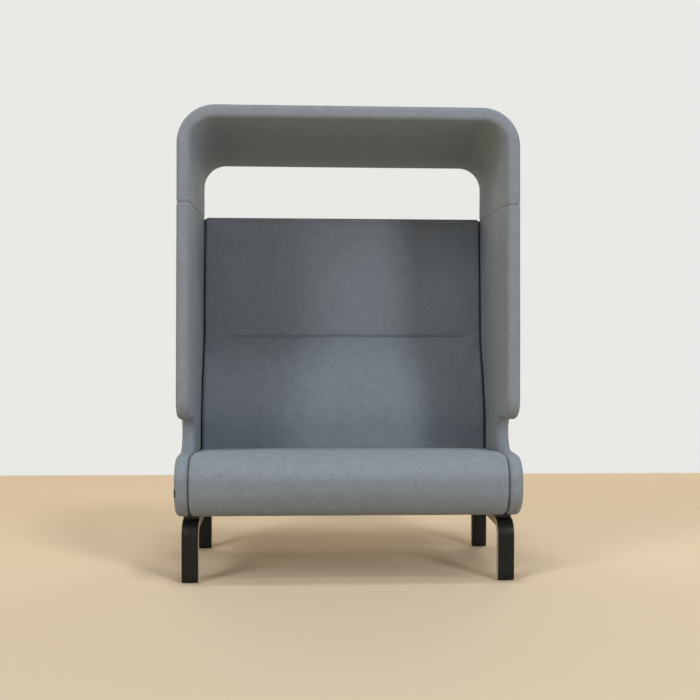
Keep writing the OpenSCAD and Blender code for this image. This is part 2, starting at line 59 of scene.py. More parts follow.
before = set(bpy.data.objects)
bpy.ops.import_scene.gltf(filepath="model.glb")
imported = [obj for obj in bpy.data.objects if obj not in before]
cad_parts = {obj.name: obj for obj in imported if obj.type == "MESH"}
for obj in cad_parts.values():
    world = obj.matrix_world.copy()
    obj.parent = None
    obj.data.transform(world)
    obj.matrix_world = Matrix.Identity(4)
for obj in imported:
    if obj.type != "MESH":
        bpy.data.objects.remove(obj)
CAD_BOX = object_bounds()
ROOT = "root"

# Directions, and the tolerance for a vertex that lies in a plane
X, Y, Z = 0, 1, 2
AXES = Matrix.Identity(3)
TINY = 1e-5

# Planes that the frame gives
NOSE_Y = CAD_BOX[0].y
REAR_DEPTH = CAD_BOX[1].y - NOSE_Y
HALF_W = CAD_BOX[1].x
TOP_Z = CAD_BOX[1].z
SIDE_LOW, SIDE_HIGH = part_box("right_side_cover")
SEAT_LOW, SEAT_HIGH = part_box("seat_cover")
BACK_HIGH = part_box("back_cover")[1]
BOARD_LOW, BOARD_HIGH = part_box("back_closing_board")
CLOTH_LOW, CLOTH_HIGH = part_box("dust_cover")
LEG_LOW, LEG_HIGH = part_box("right_leg_frame")
TAB_LOW, TAB_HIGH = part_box("side_tab")
BODY_Z = SEAT_LOW.z
JOINT_Z = SIDE_HIGH.z
INNER_X = SIDE_LOW.x
SEAT_DEPTH = SEAT_HIGH.y - NOSE_Y
BACK_REAR = BACK_HIGH.y - NOSE_Y

# Spacings of the cuts that let a form bend: across panels and hood, and across the cushions
BROAD, FINE = 0.030, 0.022
# Distances from the joint of panel and hood at which both are cut
JOINT_CUTS = (0.0015, 0.003, 0.005, 0.008, 0.012)
# How far the undersides of the cushions reach into the dust cloth
LAP = 0.0005
# Room over the drawn seat for its swelling, and the share of the crown that is drawn before it
SEAT_ROOM = 0.003
CROWN_SHARE = 0.4


def length(label, about, value):
    """A length that a user can change, in metres."""
    return FloatProperty(name=label, description=about, default=value, min=0.0, unit="LENGTH", precision=4)


def angle(label, about, value):
    """An angle that a user can change, given here in degrees."""
    return FloatProperty(name=label, description=about, default=radians(value), subtype="ANGLE")


def colour(label, about, red, green, blue):
    """A colour that a user can change, given here as a screen shows it, from 0 to 255."""
    shown = [((c / 255 + 0.055) / 1.055) ** 2.4 for c in (red, green, blue)]
    return FloatVectorProperty(
        name=label, description=about, default=shown, size=3, subtype="COLOR", min=0.0, max=1.0
    )


class SofaSizes(bpy.types.PropertyGroup):
    """Sizes of the upholstered forms."""

    seat_z: length("Seat height", "Height of the seat's front", SEAT_HIGH.z - SEAT_ROOM)
    seat_rear_z: length("Seat rear height", "Height of the seat where it meets the back", 0.434)
    seat_flat: length("Seat flat run", "Depth at which the seat's top begins to fall", 0.169)
    nose_top_r: length("Upper nose radius", "Upper radius of the nose of the seat and panels", 0.090)
    nose_low_r: length("Lower nose radius", "Lower radius of the nose of the seat and panels", 0.105)
    notch_d: length("Notch depth", "Depth of the arm notch from the seat's nose", 0.279)
    wing_z: length("Wing height", "Height of the underside of the wings", 0.584)
    wing_d: length("Wing set-back", "Set-back of the wings' front edge at the hood's joint", 0.094)
    wing_lean: angle("Wing lean", "Lean of the wings' front edge", 2.3)
    wing_r: length("Wing radius", "Radius of the wings' lower front corner", 0.075)
    rear_r: length("Rear radius", "Radius of the panels' lower rear corner", 0.040)
    edge_r: length("Edge radius", "Radius of the padded edges of panels and hood", 0.016)
    hood_r: length("Hood radius", "Outer radius of the hood's corners", 0.140)
    roof_fall: angle("Roof fall", "Fall of the roof towards the back", 9.1)
    end_r: length("Cushion end radius", "Radius of the ends of seat and back", 0.014)
    back_top_r: length("Back top radius", "Radius of the back's upper front edge", 0.016)
    back_top_t: length("Back top thickness", "Thickness of the back at its top", 0.041)
    crown: length("Crown", "Crown of the cushions across their width", 0.003)
    channel_z: length("Channel height", "Height of the back's sewn channel", 0.880)
    channel_deep: length("Channel depth", "Depth of the back's sewn channel", 0.0110)
    channel_margin: length("Channel margin", "Distance from the channel's ends to the back's ends", 0.046)
    leg_t: length("Leg thickness", "Thickness of the bent strip", 0.028)
    bend_r: length("Leg bend radius", "Outer radius of the strip's bends", 0.058)
    seam_w: length("Seam width", "Half the width of a sewn seam", 0.0016)
    seam_deep: length("Seam depth", "Depth of a sewn seam", 0.0016)


class SofaColours(bpy.types.PropertyGroup):
    """Colours of the sofa and of the room that it stands in."""

    felt: colour("Felt", "Middle tone of the felt", 142, 149, 156)
    felt_light: colour("Felt light", "Light fibres of the felt", 180, 187, 194)
    felt_dark: colour("Felt dark", "Dark fibres of the felt", 104, 109, 116)
    leg_stain: colour("Leg stain", "Black stain of the leg frames", 33, 32, 29)
    laminate: colour("Laminate", "Pale edges of the leg frames' layers", 190, 178, 158)
    floor: colour("Floor", "Plain floor", 208, 188, 162)
    wall: colour("Wall", "Plain wall behind the sofa", 233, 233, 230)


def sizes():
    """The sizes as the sidebar has them."""
    return bpy.context.scene.sofa_sizes


def tone(name, share=1.0):
    """One of the colours with its alpha, darkened or lightened by a share."""
    return [c * share for c in getattr(bpy.context.scene.sofa_colours, name)] + [1.0]


# Shader nodes

def emptied(owner):
    """The node tree of a material or world, without nodes."""
    owner.use_nodes = True
    owner.node_tree.nodes.clear()
    return owner.node_tree


def add(tree, kind, inputs=None, **settings):
    """A new node, whose inputs are set to values or linked to other nodes' sockets."""
    node = tree.nodes.new("ShaderNode" + kind)
    for name, value in settings.items():
        setattr(node, name, value)
    for name, value in (inputs or {}).items():
        if isinstance(value, bpy.types.NodeSocket):
            tree.links.new(value, node.inputs[name])
        else:
            node.inputs[name].default_value = value
    return node


def math(tree, operation, *values):
    """The result of a Math node."""
    return add(tree, "Math", dict(enumerate(values)), operation=operation).outputs[0]


def blend(tree, share, first, second):
    """A mix of two colours."""
    node = add(tree, "Mix", {0: share, 6: first, 7: second}, data_type="RGBA")
    return node.outputs[2]


def ramp(tree, value, low, high, to_low=0.0, to_high=1.0):
    """A value carried smoothly from one range to another."""
    steps = {0: value, 1: low, 2: high, 3: to_low, 4: to_high}
    return add(tree, "MapRange", steps, interpolation_type="SMOOTHSTEP").outputs[0]


def grain(tree, vector, scale, detail=3.0, roughness=0.55, distortion=0.0):
    """The value of a Noise node."""
    settings = {
        "Vector": vector, "Scale": scale, "Detail": detail, "Roughness": roughness, "Distortion": distortion
    }
    return add(tree, "TexNoise", settings).outputs["Fac"]


def stretched(tree, vector, *scale):
    """A vector scaled by its own factor along each axis."""
    return add(tree, "Mapping", {"Vector": vector, "Scale": scale}).outputs[0]


def effect(name, inputs):
    """A shader node group with Color, Roughness and Height outputs, and its inputs' sockets by name.

    A Vector comes before the inputs that are given.
    """
    tree = bpy.data.node_groups.new(name, "ShaderNodeTree")
    for label, default in {"Vector": (0.0, 0.0, 0.0), **inputs}.items():
        kind = "Float" if isinstance(default, float) else ("Color" if len(default) == 4 else "Vector")
        tree.interface.new_socket(label, in_out="INPUT", socket_type="NodeSocket" + kind).default_value = default
    for label, kind in (("Color", "Color"), ("Roughness", "Float"), ("Height", "Float")):
        tree.interface.new_socket(label, in_out="OUTPUT", socket_type="NodeSocket" + kind)
    return tree, tree.nodes.new("NodeGroupInput").outputs


def put_out(tree, shade, roughness, height):
    """Links the three results to the group's output."""
    node = tree.nodes.new("NodeGroupOutput")
    for socket, value in zip(node.inputs, (shade, roughness, height)):
        tree.links.new(value, socket)


GREY = (0.5, 0.5, 0.5, 1.0)


def felt_group():
    """Melange wool felt: matted fibres in three tones, with soft clouds of tone over them."""
    tree, given = effect(
        "Melange felt", {"Middle": GREY, "Light": GREY, "Dark": GREY, "Fibre": 420.0, "Clouds": 0.4}
    )
    at = given["Vector"]
    fibres = grain(tree, at, given["Fibre"], 7.0, 0.68, 2.2)
    crossing = grain(tree, stretched(tree, at, 1.6, 0.8, 0.5), given["Fibre"], 5.0, 0.6, 3.0)
    tufts = grain(tree, at, math(tree, "MULTIPLY", given["Fibre"], 0.26), 3.0, 0.6)
    clouds = grain(tree, at, 26.0, 5.0, 0.8)
    shade = blend(tree, ramp(tree, fibres, 0.36, 0.62), given["Dark"], given["Middle"])
    shade = blend(tree, ramp(tree, crossing, 0.55, 0.72, 0.0, 0.75), shade, given["Light"])
    tufted = math(tree, "MULTIPLY", ramp(tree, tufts, 0.52, 0.78), 0.7)
    shade = blend(tree, tufted, shade, given["Dark"])
    drift = math(tree, "MULTIPLY", given["Clouds"], ramp(tree, clouds, 0.3, 0.7, -0.12, 0.12))
    shaded = add(tree, "HueSaturation", {"Value": math(tree, "ADD", drift, 1.0), "Color": shade}).outputs[0]
    height = math(tree, "ADD", fibres, math(tree, "MULTIPLY", crossing, 0.6))
    put_out(tree, shaded, ramp(tree, fibres, 0.2, 0.8, 0.98, 0.86), height)
    return tree


def wood_group():
    """Wood with its grain along the vector's X."""
    tree, given = effect("Wood grain", {"Early": GREY, "Late": GREY, "Pores": 0.3, "Roughness": 0.5})
    warped = grain(tree, stretched(tree, given["Vector"], 3.0, 26.0, 26.0), 1.0, 3.0, 0.5, 0.8)
    rings = math(tree, "FRACT", math(tree, "MULTIPLY", warped, 7.0))
    pores = grain(tree, stretched(tree, given["Vector"], 30.0, 1400.0, 1400.0), 1.0, 2.0, 0.6)
    deep = math(tree, "MULTIPLY", ramp(tree, pores, 0.56, 0.72), given["Pores"])
    shade = blend(tree, ramp(tree, rings, 0.15, 0.95), given["Early"], given["Late"])
    shade = blend(tree, deep, shade, given["Late"])
    rough = math(tree, "ADD", given["Roughness"], math(tree, "MULTIPLY", deep, 0.3))
    put_out(tree, shade, rough, math(tree, "SUBTRACT", 1.0, deep))
    return tree


def layers_group():
    """Edges of thin glued layers, stacked along the vector's Y, with their grain along X."""
    tree, given = effect("Laminate layers", {"Pale": GREY, "Brown": GREY, "Layer": 0.0014})
    parts = add(tree, "SeparateXYZ", {0: given["Vector"]})
    count = math(tree, "DIVIDE", parts.outputs[1], given["Layer"])
    place = math(tree, "FRACT", count)
    own = add(tree, "TexWhiteNoise", {"W": math(tree, "FLOOR", count)}, noise_dimensions="1D").outputs[0]
    streaks = grain(tree, stretched(tree, given["Vector"], 60.0, 2600.0, 1.0), 1.0, 2.0)
    edge = math(tree, "ABSOLUTE", math(tree, "SUBTRACT", place, 0.5))
    glue = ramp(tree, edge, 0.36, 0.5)
    brown = math(tree, "ADD", math(tree, "MULTIPLY", own, 0.45), math(tree, "MULTIPLY", streaks, 0.35))
    share = math(tree, "ADD", brown, math(tree, "MULTIPLY", glue, 0.45))
    shade = blend(tree, share, given["Pale"], given["Brown"])
    rough = ramp(tree, streaks, 0.2, 0.8, 0.5, 0.68)
    put_out(tree, shade, rough, math(tree, "SUBTRACT", streaks, glue))
    return tree


def cells_group():
    """Open cells of cut foam, with painted shade in the low seams between the cells."""
    tree, given = effect("Foam cells", {"Body": GREY, "Shade": GREY, "Cells": 700.0})
    cell = add(tree, "TexVoronoi", {"Vector": given["Vector"], "Scale": given["Cells"]}).outputs["Distance"]
    wide = grain(tree, given["Vector"], 18.0)
    # Painted shade: the foam is darker where its surface lies low, between the cells, and the wide noise varies
    # this at random
    painted_cell_shade = math(tree, "MULTIPLY", ramp(tree, cell, 0.25, 0.75), 0.7)
    painted_cell_shade = math(tree, "MULTIPLY", painted_cell_shade, ramp(tree, wide, 0.2, 0.8, 0.6, 1.0))
    shade = blend(tree, painted_cell_shade, given["Body"], given["Shade"])
    put_out(tree, shade, ramp(tree, cell, 0.0, 1.0, 0.85, 1.0), math(tree, "SUBTRACT", 1.0, cell))
    return tree


def weave_group():
    """Plain weave of round yarns along X and Y, with painted light on the yarns' crowns and painted shade in the
    gaps between them.
    """
    tree, given = effect("Plain weave", {"Yarn": GREY, "Gap": GREY, "Pitch": 0.002, "Roughness": 0.8})
    parts = add(tree, "SeparateXYZ", {0: given["Vector"]})
    picks = [math(tree, "DIVIDE", parts.outputs[i], given["Pitch"]) for i in (X, Y)]
    turns = [math(tree, "MULTIPLY", pick, pi) for pick in picks]
    warp, weft = (math(tree, "SINE", turn) for turn in turns)
    over = math(tree, "MULTIPLY", warp, weft)
    high = math(tree, "ABSOLUTE", over)
    side = ramp(tree, over, -0.4, 0.4, 0.75, 1.0)
    fuzz = grain(tree, given["Vector"], 2500.0)
    # One set of crossings is darker than the other, and the fuzz varies the tone at random
    crossing_and_fuzz = math(tree, "MULTIPLY", side, ramp(tree, fuzz, 0.2, 0.7, 0.7, 1.0))
    # Painted light and shade: the colour runs from the gap's to the yarn's as the yarn rises to its crown
    lit = math(tree, "MULTIPLY", math(tree, "POWER", high, 0.5), crossing_and_fuzz)
    rough = math(tree, "ADD", given["Roughness"], math(tree, "MULTIPLY", fuzz, 0.1))
    put_out(tree, blend(tree, lit, given["Gap"], given["Yarn"]), rough, lit)
    return tree


def brushed_group():
    """Fine scratches and slight clouds on metal or moulded plastic."""
    tree, given = effect("Fine surface", {"Body": GREY, "Worn": GREY, "Scale": 900.0, "Roughness": 0.4})
    fine = grain(tree, given["Vector"], given["Scale"], 4.0)
    wide = grain(tree, given["Vector"], 60.0, 3.0)
    shade = blend(tree, ramp(tree, wide, 0.4, 0.75), given["Body"], given["Worn"])
    rough = math(tree, "ADD", given["Roughness"], ramp(tree, fine, 0.3, 0.7, -0.06, 0.08))
    put_out(tree, shade, rough, fine)
    return tree


GROUPS = {}


def shared(builder):
    """The shader node group that a function builds, built once."""
    if builder not in GROUPS:
        GROUPS[builder] = builder()
    return GROUPS[builder]


def finish_of(
    name, builder, inputs, coordinates="Object", turn=(0.0, 0.0, 0.0), bump=0.0004, strength=0.4, **shader
):
    """A material with one of the shared effects on a Principled shader.

    The bump's distance is in metres. Sockets of the shader are named with underscores for spaces.
    """
    if name in bpy.data.materials:
        return bpy.data.materials[name]
    material = bpy.data.materials.new(name)
    tree = emptied(material)
    at = add(tree, "TexCoord").outputs[coordinates]
    if any(turn):
        at = add(tree, "Mapping", {"Vector": at, "Rotation": turn}).outputs[0]
    look = tree.nodes.new("ShaderNodeGroup")
    look.node_tree = shared(builder)
    tree.links.new(at, look.inputs["Vector"])
    for label, value in inputs.items():
        look.inputs[label].default_value = value
    gives = look.outputs
    relief = add(tree, "Bump", {"Height": gives["Height"], "Distance": bump, "Strength": strength})
    sockets = {"Base Color": gives["Color"], "Roughness": gives["Roughness"], "Normal": relief.outputs[0]}
    sockets.update({label.replace("_", " "): value for label, value in shader.items()})
    surface = add(tree, "BsdfPrincipled", sockets)
    add(tree, "OutputMaterial", {"Surface": surface.outputs[0]})
    return material


# Materials

def felt():
    """The felt that covers the whole body."""
    return finish_of(
        "melange_felt", felt_group,
        {"Middle": tone("felt"), "Light": tone("felt_light"), "Dark": tone("felt_dark")},
        bump=0.0007, strength=0.45, Sheen_Weight=0.08, Sheen_Roughness=0.5, Specular_IOR_Level=0.1,
    )


def stained_wood():
    """Black-stained faces of the leg frames, satin lacquered. The grain follows the strip."""
    return finish_of(
        "black_stained_wood", wood_group,
        {"Early": tone("leg_stain", 0.75), "Late": tone("leg_stain", 0.5), "Roughness": 0.42, "Pores": 0.15},
        coordinates="UV", bump=0.0002, strength=0.3, Specular_IOR_Level=0.2,
    )


def laminate_edges():
    """Pale edges of the leg frames' layers."""
    return finish_of(
        "pale_laminate_edges", layers_group,
        {"Pale": tone("laminate"), "Brown": tone("laminate", 0.42)},
        coordinates="UV", bump=0.0002, strength=0.4, Specular_IOR_Level=0.35,
    )


def plain_wood(name, turn):
    """Bare planed wood, turned so that its grain runs along the piece."""
    return finish_of(
        name, wood_group,
        {"Early": (0.72, 0.56, 0.36, 1.0), "Late": (0.52, 0.35, 0.18, 1.0), "Roughness": 0.62},
        turn=turn, bump=0.0003,
    )


def cut_foam():
    """Cut edges of the polyurethane foam."""
    return finish_of(
        "cut_foam", cells_group, {"Body": (0.80, 0.71, 0.47, 1.0), "Shade": (0.50, 0.41, 0.22, 1.0)}, bump=0.001
    )


def webbing():
    """Woven elastic webbing."""
    return finish_of(
        "elastic_webbing", weave_group,
        {"Yarn": (0.10, 0.10, 0.11, 1.0), "Gap": (0.02, 0.02, 0.02, 1.0), "Pitch": 0.0024},
        bump=0.0006, strength=0.6,
    )


def spun_cloth():
    """Black spun cloth under the seat."""
    return finish_of(
        "black_spun_cloth", weave_group,
        {"Yarn": (0.035, 0.035, 0.037, 1.0), "Gap": (0.012, 0.012, 0.013, 1.0), "Pitch": 0.0016},
        bump=0.0003, Specular_IOR_Level=0.3,
    )


def woven_tape():
    """Plain black tape of the blank tab."""
    return finish_of(
        "black_woven_tape", weave_group,
        {"Yarn": (0.045, 0.045, 0.05, 1.0), "Gap": (0.010, 0.010, 0.012, 1.0), "Pitch": 0.0009},
        turn=(radians(90), 0.0, 0.0), bump=0.0004, strength=0.6,
    )


def zinc():
    """Zinc-plated steel."""
    return finish_of(
        "zinc_plated_steel", brushed_group,
        {"Body": (0.66, 0.67, 0.69, 1.0), "Worn": (0.50, 0.52, 0.55, 1.0), "Roughness": 0.32},
        bump=0.00005, Metallic=1.0,
    )


def black_plastic():
    """Black moulded plastic."""
    return finish_of(
        "black_moulded_plastic", brushed_group,
        {"Body": (0.022, 0.022, 0.022, 1.0), "Worn": (0.034, 0.034, 0.034, 1.0), "Roughness": 0.48},
        bump=0.00008,
    )


# Mesh helpers

def place(depth, height, x=0.0):
    """A point of the sofa, by its depth behind the seat's nose."""
    return Vector((x, NOSE_Y + depth, height))


class Pen:
    """Draws a closed outline in a bmesh, stroke after stroke, and fills it."""

    def __init__(self, bm, start):
        self.bm = bm
        self.first = self.tip = bmesh.ops.create_vert(bm, co=start)["vert"][0]

    def line(self, to):
        """A straight stroke to a point."""
        self.tip = bmesh.ops.extrude_vert_indiv(self.bm, verts=[self.tip])["verts"][0]
        self.tip.co = to

    def arc(self, centre, turn, axis=X, step=6.0):
        """A round stroke about a centre, by a turn in degrees about an axis."""
        spun = bmesh.ops.spin(
            self.bm, geom=[self.tip], cent=centre, axis=AXES[axis], angle=radians(turn),
            steps=max(2, round(abs(turn) / step)),
        )
        self.tip = next(g for g in spun["geom_last"] if isinstance(g, bmesh.types.BMVert))

    def fill(self):
        """Closes the outline and gives its face."""
        if (self.tip.co - self.first.co).length < TINY:
            bmesh.ops.pointmerge(self.bm, verts=[self.tip, self.first], merge_co=self.first.co)
        else:
            bmesh.ops.contextual_create(self.bm, geom=[self.tip, self.first])
        return bmesh.ops.edgenet_fill(self.bm, edges=self.bm.edges)["faces"][0]


def pushed(bm, face, shift):
    """Extrudes a face by a shift, and gives the face at its far end."""
    out = bmesh.ops.extrude_face_region(bm, geom=[face])["geom"]
    far = [g for g in out if isinstance(g, bmesh.types.BMVert)]
    bmesh.ops.translate(bm, verts=far, vec=shift)
    return next(g for g in out if isinstance(g, bmesh.types.BMFace))


def solid(bm, face, axis, reach):
    """Extrudes an outline's face along an axis to a closed solid."""
    pushed(bm, face, AXES[axis] * reach)
    bmesh.ops.recalc_face_normals(bm, faces=bm.faces)


def disc(bm, centre, radius, segments):
    """A flat round face about a centre."""
    made = bmesh.ops.create_circle(bm, cap_ends=True, segments=segments, radius=radius)["verts"]
    bmesh.ops.translate(bm, verts=made, vec=centre)
    return made[0].link_faces[0]


def block(bm, low, high):
    """A box between two corners."""
    made = bmesh.ops.create_cube(bm, size=1.0)["verts"]
    matrix = Matrix.Translation((low + high) / 2) @ Matrix.Diagonal((*(high - low), 1.0))
    bmesh.ops.transform(bm, verts=made, matrix=matrix)


def lies(element, axis, value, slack=TINY):
    """Whether all vertices of an edge or face lie in a plane across an axis."""
    return all(abs(v.co[axis] - value) < slack for v in element.verts)


def open_edge(edge):
    """Whether an edge is free of the joint between panels and hood."""
    return not lies(edge, Z, JOINT_Z)


def slant(radius):
    """Distance of a rounding's middle from the faces that it joins."""
    return radius * (1.0 - cos(radians(45.0)))


def rim(bm, axis, values, keep=lambda edge: True):
    """Edges that lie in the planes across an axis."""
    return [e for e in bm.edges if any(lies(e, axis, value) for value in values) and keep(e)]


def rounded(bm, edges, radius, segments=6):
    """Rounds edges to a radius, and gives the vertices of the rounding."""
    return bmesh.ops.bevel(
        bm, geom=edges, offset=radius, offset_type="OFFSET", segments=segments, profile=0.5,
        affect="EDGES", material=-1, clamp_overlap=True,
    )["verts"]


def sliced(bm, axis, values):
    """Cuts all faces by planes across an axis."""
    normal = AXES[axis]
    for value in values:
        everything = bm.verts[:] + bm.edges[:] + bm.faces[:]
        bmesh.ops.bisect_plane(bm, geom=everything, plane_co=normal * value, plane_no=normal, dist=TINY)


def steps(low, high, pitch):
    """Even places between two ends, about a pitch apart."""
    count = max(1, round((high - low) / pitch))
    return [low + (high - low) * i / count for i in range(1, count)]


def moved(bm, shift):
    """Moves each vertex by what a function of its place gives."""
    for v in bm.verts:
        v.co += shift(v.co)


def seam(bm, axis, value, keep=lambda edge: True, share=1.0):
    """Sews a seam along the edges in a plane: a narrow band whose middle is pulled in by a share of its depth."""
    s = sizes()
    band = rounded(bm, rim(bm, axis, [value], keep), s.seam_w, 4)
    bm.normal_update()
    shifts = []
    for v in band:
        near = 1.0 - min(1.0, abs(v.co[axis] - value) / s.seam_w)
        shifts.append((v, -v.normal * s.seam_deep * share * near ** 0.7))
    for v, shift in shifts:
        v.co += shift


def linked(name, data):
    """A new object of the scene."""
    made = bpy.data.objects.new(name, data)
    bpy.context.scene.collection.objects.link(made)
    return made


def inflated(bm, held, most, pressure, last=20):
    """Lets a padded form swell as cloth under pressure from inside. A function says where it is held by what it
    is fixed to, and no point moves further than the most that is given."""
    scene = bpy.context.scene
    bm.verts.index_update()
    rest = [v.co.copy() for v in bm.verts]
    mesh = bpy.data.meshes.new("swelling")
    bm.to_mesh(mesh)
    pad = linked("swelling", mesh)
    pad.vertex_groups.new(name="held").add([i for i, co in enumerate(rest) if held(co)], 1.0, "REPLACE")
    swell = pad.modifiers.new("swell", "CLOTH")
    cloth = swell.settings
    cloth.quality, cloth.mass, cloth.vertex_group_mass = 6, 0.3, "held"
    cloth.tension_stiffness = cloth.compression_stiffness = 40.0
    cloth.shear_stiffness, cloth.bending_stiffness = 12.0, 2.0
    cloth.use_pressure, cloth.uniform_pressure_force = True, pressure
    cloth.effector_weights.gravity = 0.0
    swell.point_cache.frame_start, swell.point_cache.frame_end = 1, last
    for frame_number in range(1, last + 1):
        scene.frame_set(frame_number)
    swollen = pad.evaluated_get(bpy.context.evaluated_depsgraph_get()).to_mesh()
    reached = [v.co.copy() for v in swollen.vertices]
    scene.frame_set(1)
    bpy.data.objects.remove(pad)
    bpy.data.meshes.remove(mesh)
    for v, start, end in zip(bm.verts, rest, reached):
        shift = end - start
        if shift.length > TINY:
            v.co = start + shift * (most * tanh(shift.length / most) / shift.length)


def uneven(bm, height, size, seed):
    """Draws the padding in by a slight, smooth unevenness."""
    bm.normal_update()
    start = Vector((seed, 0.3 * seed, 0.0))
    for v in bm.verts:
        v.co -= v.normal * height * (0.5 + 0.5 * noise.noise(v.co / size + start))


def pinched(bm, joint, pinch=0.0030, reach=0.010):
    """Draws the cover in where two upholstered parts meet at a height."""
    bm.normal_update()
    for v in bm.verts:
        near = 1.0 - abs(v.co.z - joint) / reach
        flat = Vector((v.normal.x, v.normal.y, 0.0))
        if near > 0.0 and flat.length > 0.2:
            v.co -= flat.normalized() * pinch * near * near


def meshed(name, bm, materials):
    """A new object of the scene, with the bmesh as its mesh."""
    mesh = bpy.data.meshes.new(name)
    bm.to_mesh(mesh)
    bm.free()
    for material in materials:
        mesh.materials.append(material)
    return linked(name, mesh)


def piece(name, bm, materials, slot, *nodes, sharp=None):
    """Makes a piece, lets it ride on the frame and stand for CAD nodes.

    Edges sharper than an angle in degrees stay sharp.
    """
    made = meshed(name, bm, materials)
    made.data.shade_smooth()
    if sharp:
        made.data.set_sharp_from_angle(angle=radians(sharp))
    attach(made, ROOT)
    if nodes:
        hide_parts(*nodes)
    return made


# Outlines that more than one piece follows

def wing_front(height):
    """Depth of the front edge of the wings and the hood at a height."""
    s = sizes()
    return s.wing_d + (height - JOINT_Z) * tan(s.wing_lean)


def draw_nose(pen, x):
    """Draws the nose up from the underside to the seat's top."""
    s = sizes()
    pen.arc(place(s.nose_low_r, BODY_Z + s.nose_low_r, x), -90.0, step=5.0)
    pen.line(place(0.0, s.seat_z - s.nose_top_r, x))
    pen.arc(place(s.nose_top_r, s.seat_z - s.nose_top_r, x), -90.0, step=5.0)


class SOFA_OT_side_panels(bpy.types.Operator):
    """Upholster the two side panels, each with its arm notch and a sewn outer seam"""

    bl_idname = "sofa.side_panels"
    bl_label = "Side panels"

    def outline(self, bm, x):
        """The face of a panel's outline."""
        s = sizes()
        notch_r = (s.wing_z - s.seat_z) / 2
        notch = place(s.notch_d - notch_r, s.seat_z + notch_r, x)
        wing_cz = s.wing_z + s.wing_r
        wing = place(wing_front(wing_cz) + s.wing_r / cos(s.wing_lean), wing_cz, x)
        pen = Pen(bm, place(s.nose_low_r, BODY_Z, x))
        draw_nose(pen, x)
        pen.line(notch - Vector((0.0, 0.0, notch_r)))
        pen.arc(notch, 180.0)
        pen.line(wing - Vector((0.0, 0.0, s.wing_r)))
        pen.arc(wing, -90.0 - s.wing_lean * 180.0 / pi)
        pen.line(place(wing_front(JOINT_Z), JOINT_Z, x))
        pen.line(place(REAR_DEPTH, JOINT_Z, x))
        pen.line(place(REAR_DEPTH, BODY_Z + s.rear_r, x))
        pen.arc(place(REAR_DEPTH - s.rear_r, BODY_Z + s.rear_r, x), -90.0)
        return pen.fill()

    def execute(self, context):
        edge_r = sizes().edge_r
        for side, node in ((-1, "left_side_cover"), (1, "right_side_cover")):
            inner, outer = side * INNER_X, side * HALF_W
            bm = bmesh.new()
            solid(bm, self.outline(bm, inner), X, outer - inner)
            rounded(bm, rim(bm, X, [inner, outer], open_edge), edge_r)
            seam(bm, X, outer - side * slant(edge_r), open_edge)
            sliced(bm, Y, steps(NOSE_Y, CAD_BOX[1].y, BROAD))
            joint = [JOINT_Z - t for t in reversed(JOINT_CUTS)]
            sliced(bm, Z, steps(BODY_Z, joint[0], BROAD) + joint)
            uneven(bm, height=0.0008, size=0.17, seed=3.0 * side)
            pinched(bm, JOINT_Z)
            panel = piece(node.replace("cover", "panel"), bm, [felt()], "felt", node)
        return {"FINISHED"}


class SOFA_OT_hood(bpy.types.Operator):
    """Upholster the hood that bridges the side panels, with its roof falling to the back"""

    bl_idname = "sofa.hood"
    bl_label = "Hood"

    def outline(self, bm, y):
        """The face of the hood's section, from one joint over the roof to the other."""
        s = sizes()
        thick = HALF_W - INNER_X
        corner = Vector((HALF_W - s.hood_r, y, TOP_Z - s.hood_r))
        mirrored = Vector((-corner.x, y, corner.z))
        pen = Pen(bm, Vector((HALF_W, y, JOINT_Z)))
        pen.line(corner + Vector((s.hood_r, 0.0, 0.0)))
        pen.arc(corner, -90.0, Y, step=5.0)
        pen.line(mirrored + Vector((0.0, 0.0, s.hood_r)))
        pen.arc(mirrored, -90.0, Y, step=5.0)
        pen.line(Vector((-HALF_W, y, JOINT_Z)))
        pen.line(Vector((-INNER_X, y, JOINT_Z)))
        pen.line(mirrored - Vector((s.hood_r - thick, 0.0, 0.0)))
        pen.arc(mirrored, 90.0, Y, step=5.0)
        pen.line(corner + Vector((0.0, 0.0, s.hood_r - thick)))
        pen.arc(corner, 90.0, Y, step=5.0)
        pen.line(Vector((INNER_X, y, JOINT_Z)))
        return pen.fill()

    def lean(self, co):
        """Leans the front edge and lets the roof fall towards the back."""
        s = sizes()
        depth = co.y - NOSE_Y
        lead = wing_front(co.z)
        share = (REAR_DEPTH - depth) / (REAR_DEPTH - s.wing_d)
        depth += (lead - s.wing_d) * share
        falls = min(1.0, max(0.0, (co.z - JOINT_Z) / (TOP_Z - s.hood_r - JOINT_Z)))
        drop = max(0.0, depth - s.edge_r - lead) * tan(s.roof_fall) * falls
        return place(depth, co.z - drop, co.x) - co

    def execute(self, context):
        s = sizes()
        front, rear = NOSE_Y + s.wing_d, CAD_BOX[1].y
        bm = bmesh.new()
        solid(bm, self.outline(bm, front), Y, rear - front)
        rounded(bm, rim(bm, Y, [front, rear], open_edge), s.edge_r)
        outer = lambda edge: all(self.outside(v.co) for v in edge.verts)
        for y in (front + slant(s.edge_r), rear - slant(s.edge_r)):
            seam(bm, Y, y, outer)
        sliced(bm, Y, steps(front + s.edge_r, rear - s.edge_r, BROAD))
        sliced(bm, X, steps(-HALF_W + s.hood_r, HALF_W - s.hood_r, BROAD))
        joint = [JOINT_Z + t for t in JOINT_CUTS]
        sliced(bm, Z, joint + steps(joint[-1], TOP_Z - s.hood_r, BROAD))
        pinched(bm, JOINT_Z)
        moved(bm, self.lean)
        uneven(bm, height=0.0008, size=0.19, seed=11.0)
        hood = piece("hood", bm, [felt()], "felt", "hood_cover")
        return {"FINISHED"}

    def outside(self, co):
        """Whether a point lies on the outer half of the hood's thickness."""
        s = sizes()
        half = (HALF_W - INNER_X) / 2
        x, z = abs(co.x) - HALF_W + s.hood_r, co.z - TOP_Z + s.hood_r
        if x < 0.0:
            return z > s.hood_r - half
        return (hypot(x, z) if z > 0.0 else x) > s.hood_r - half


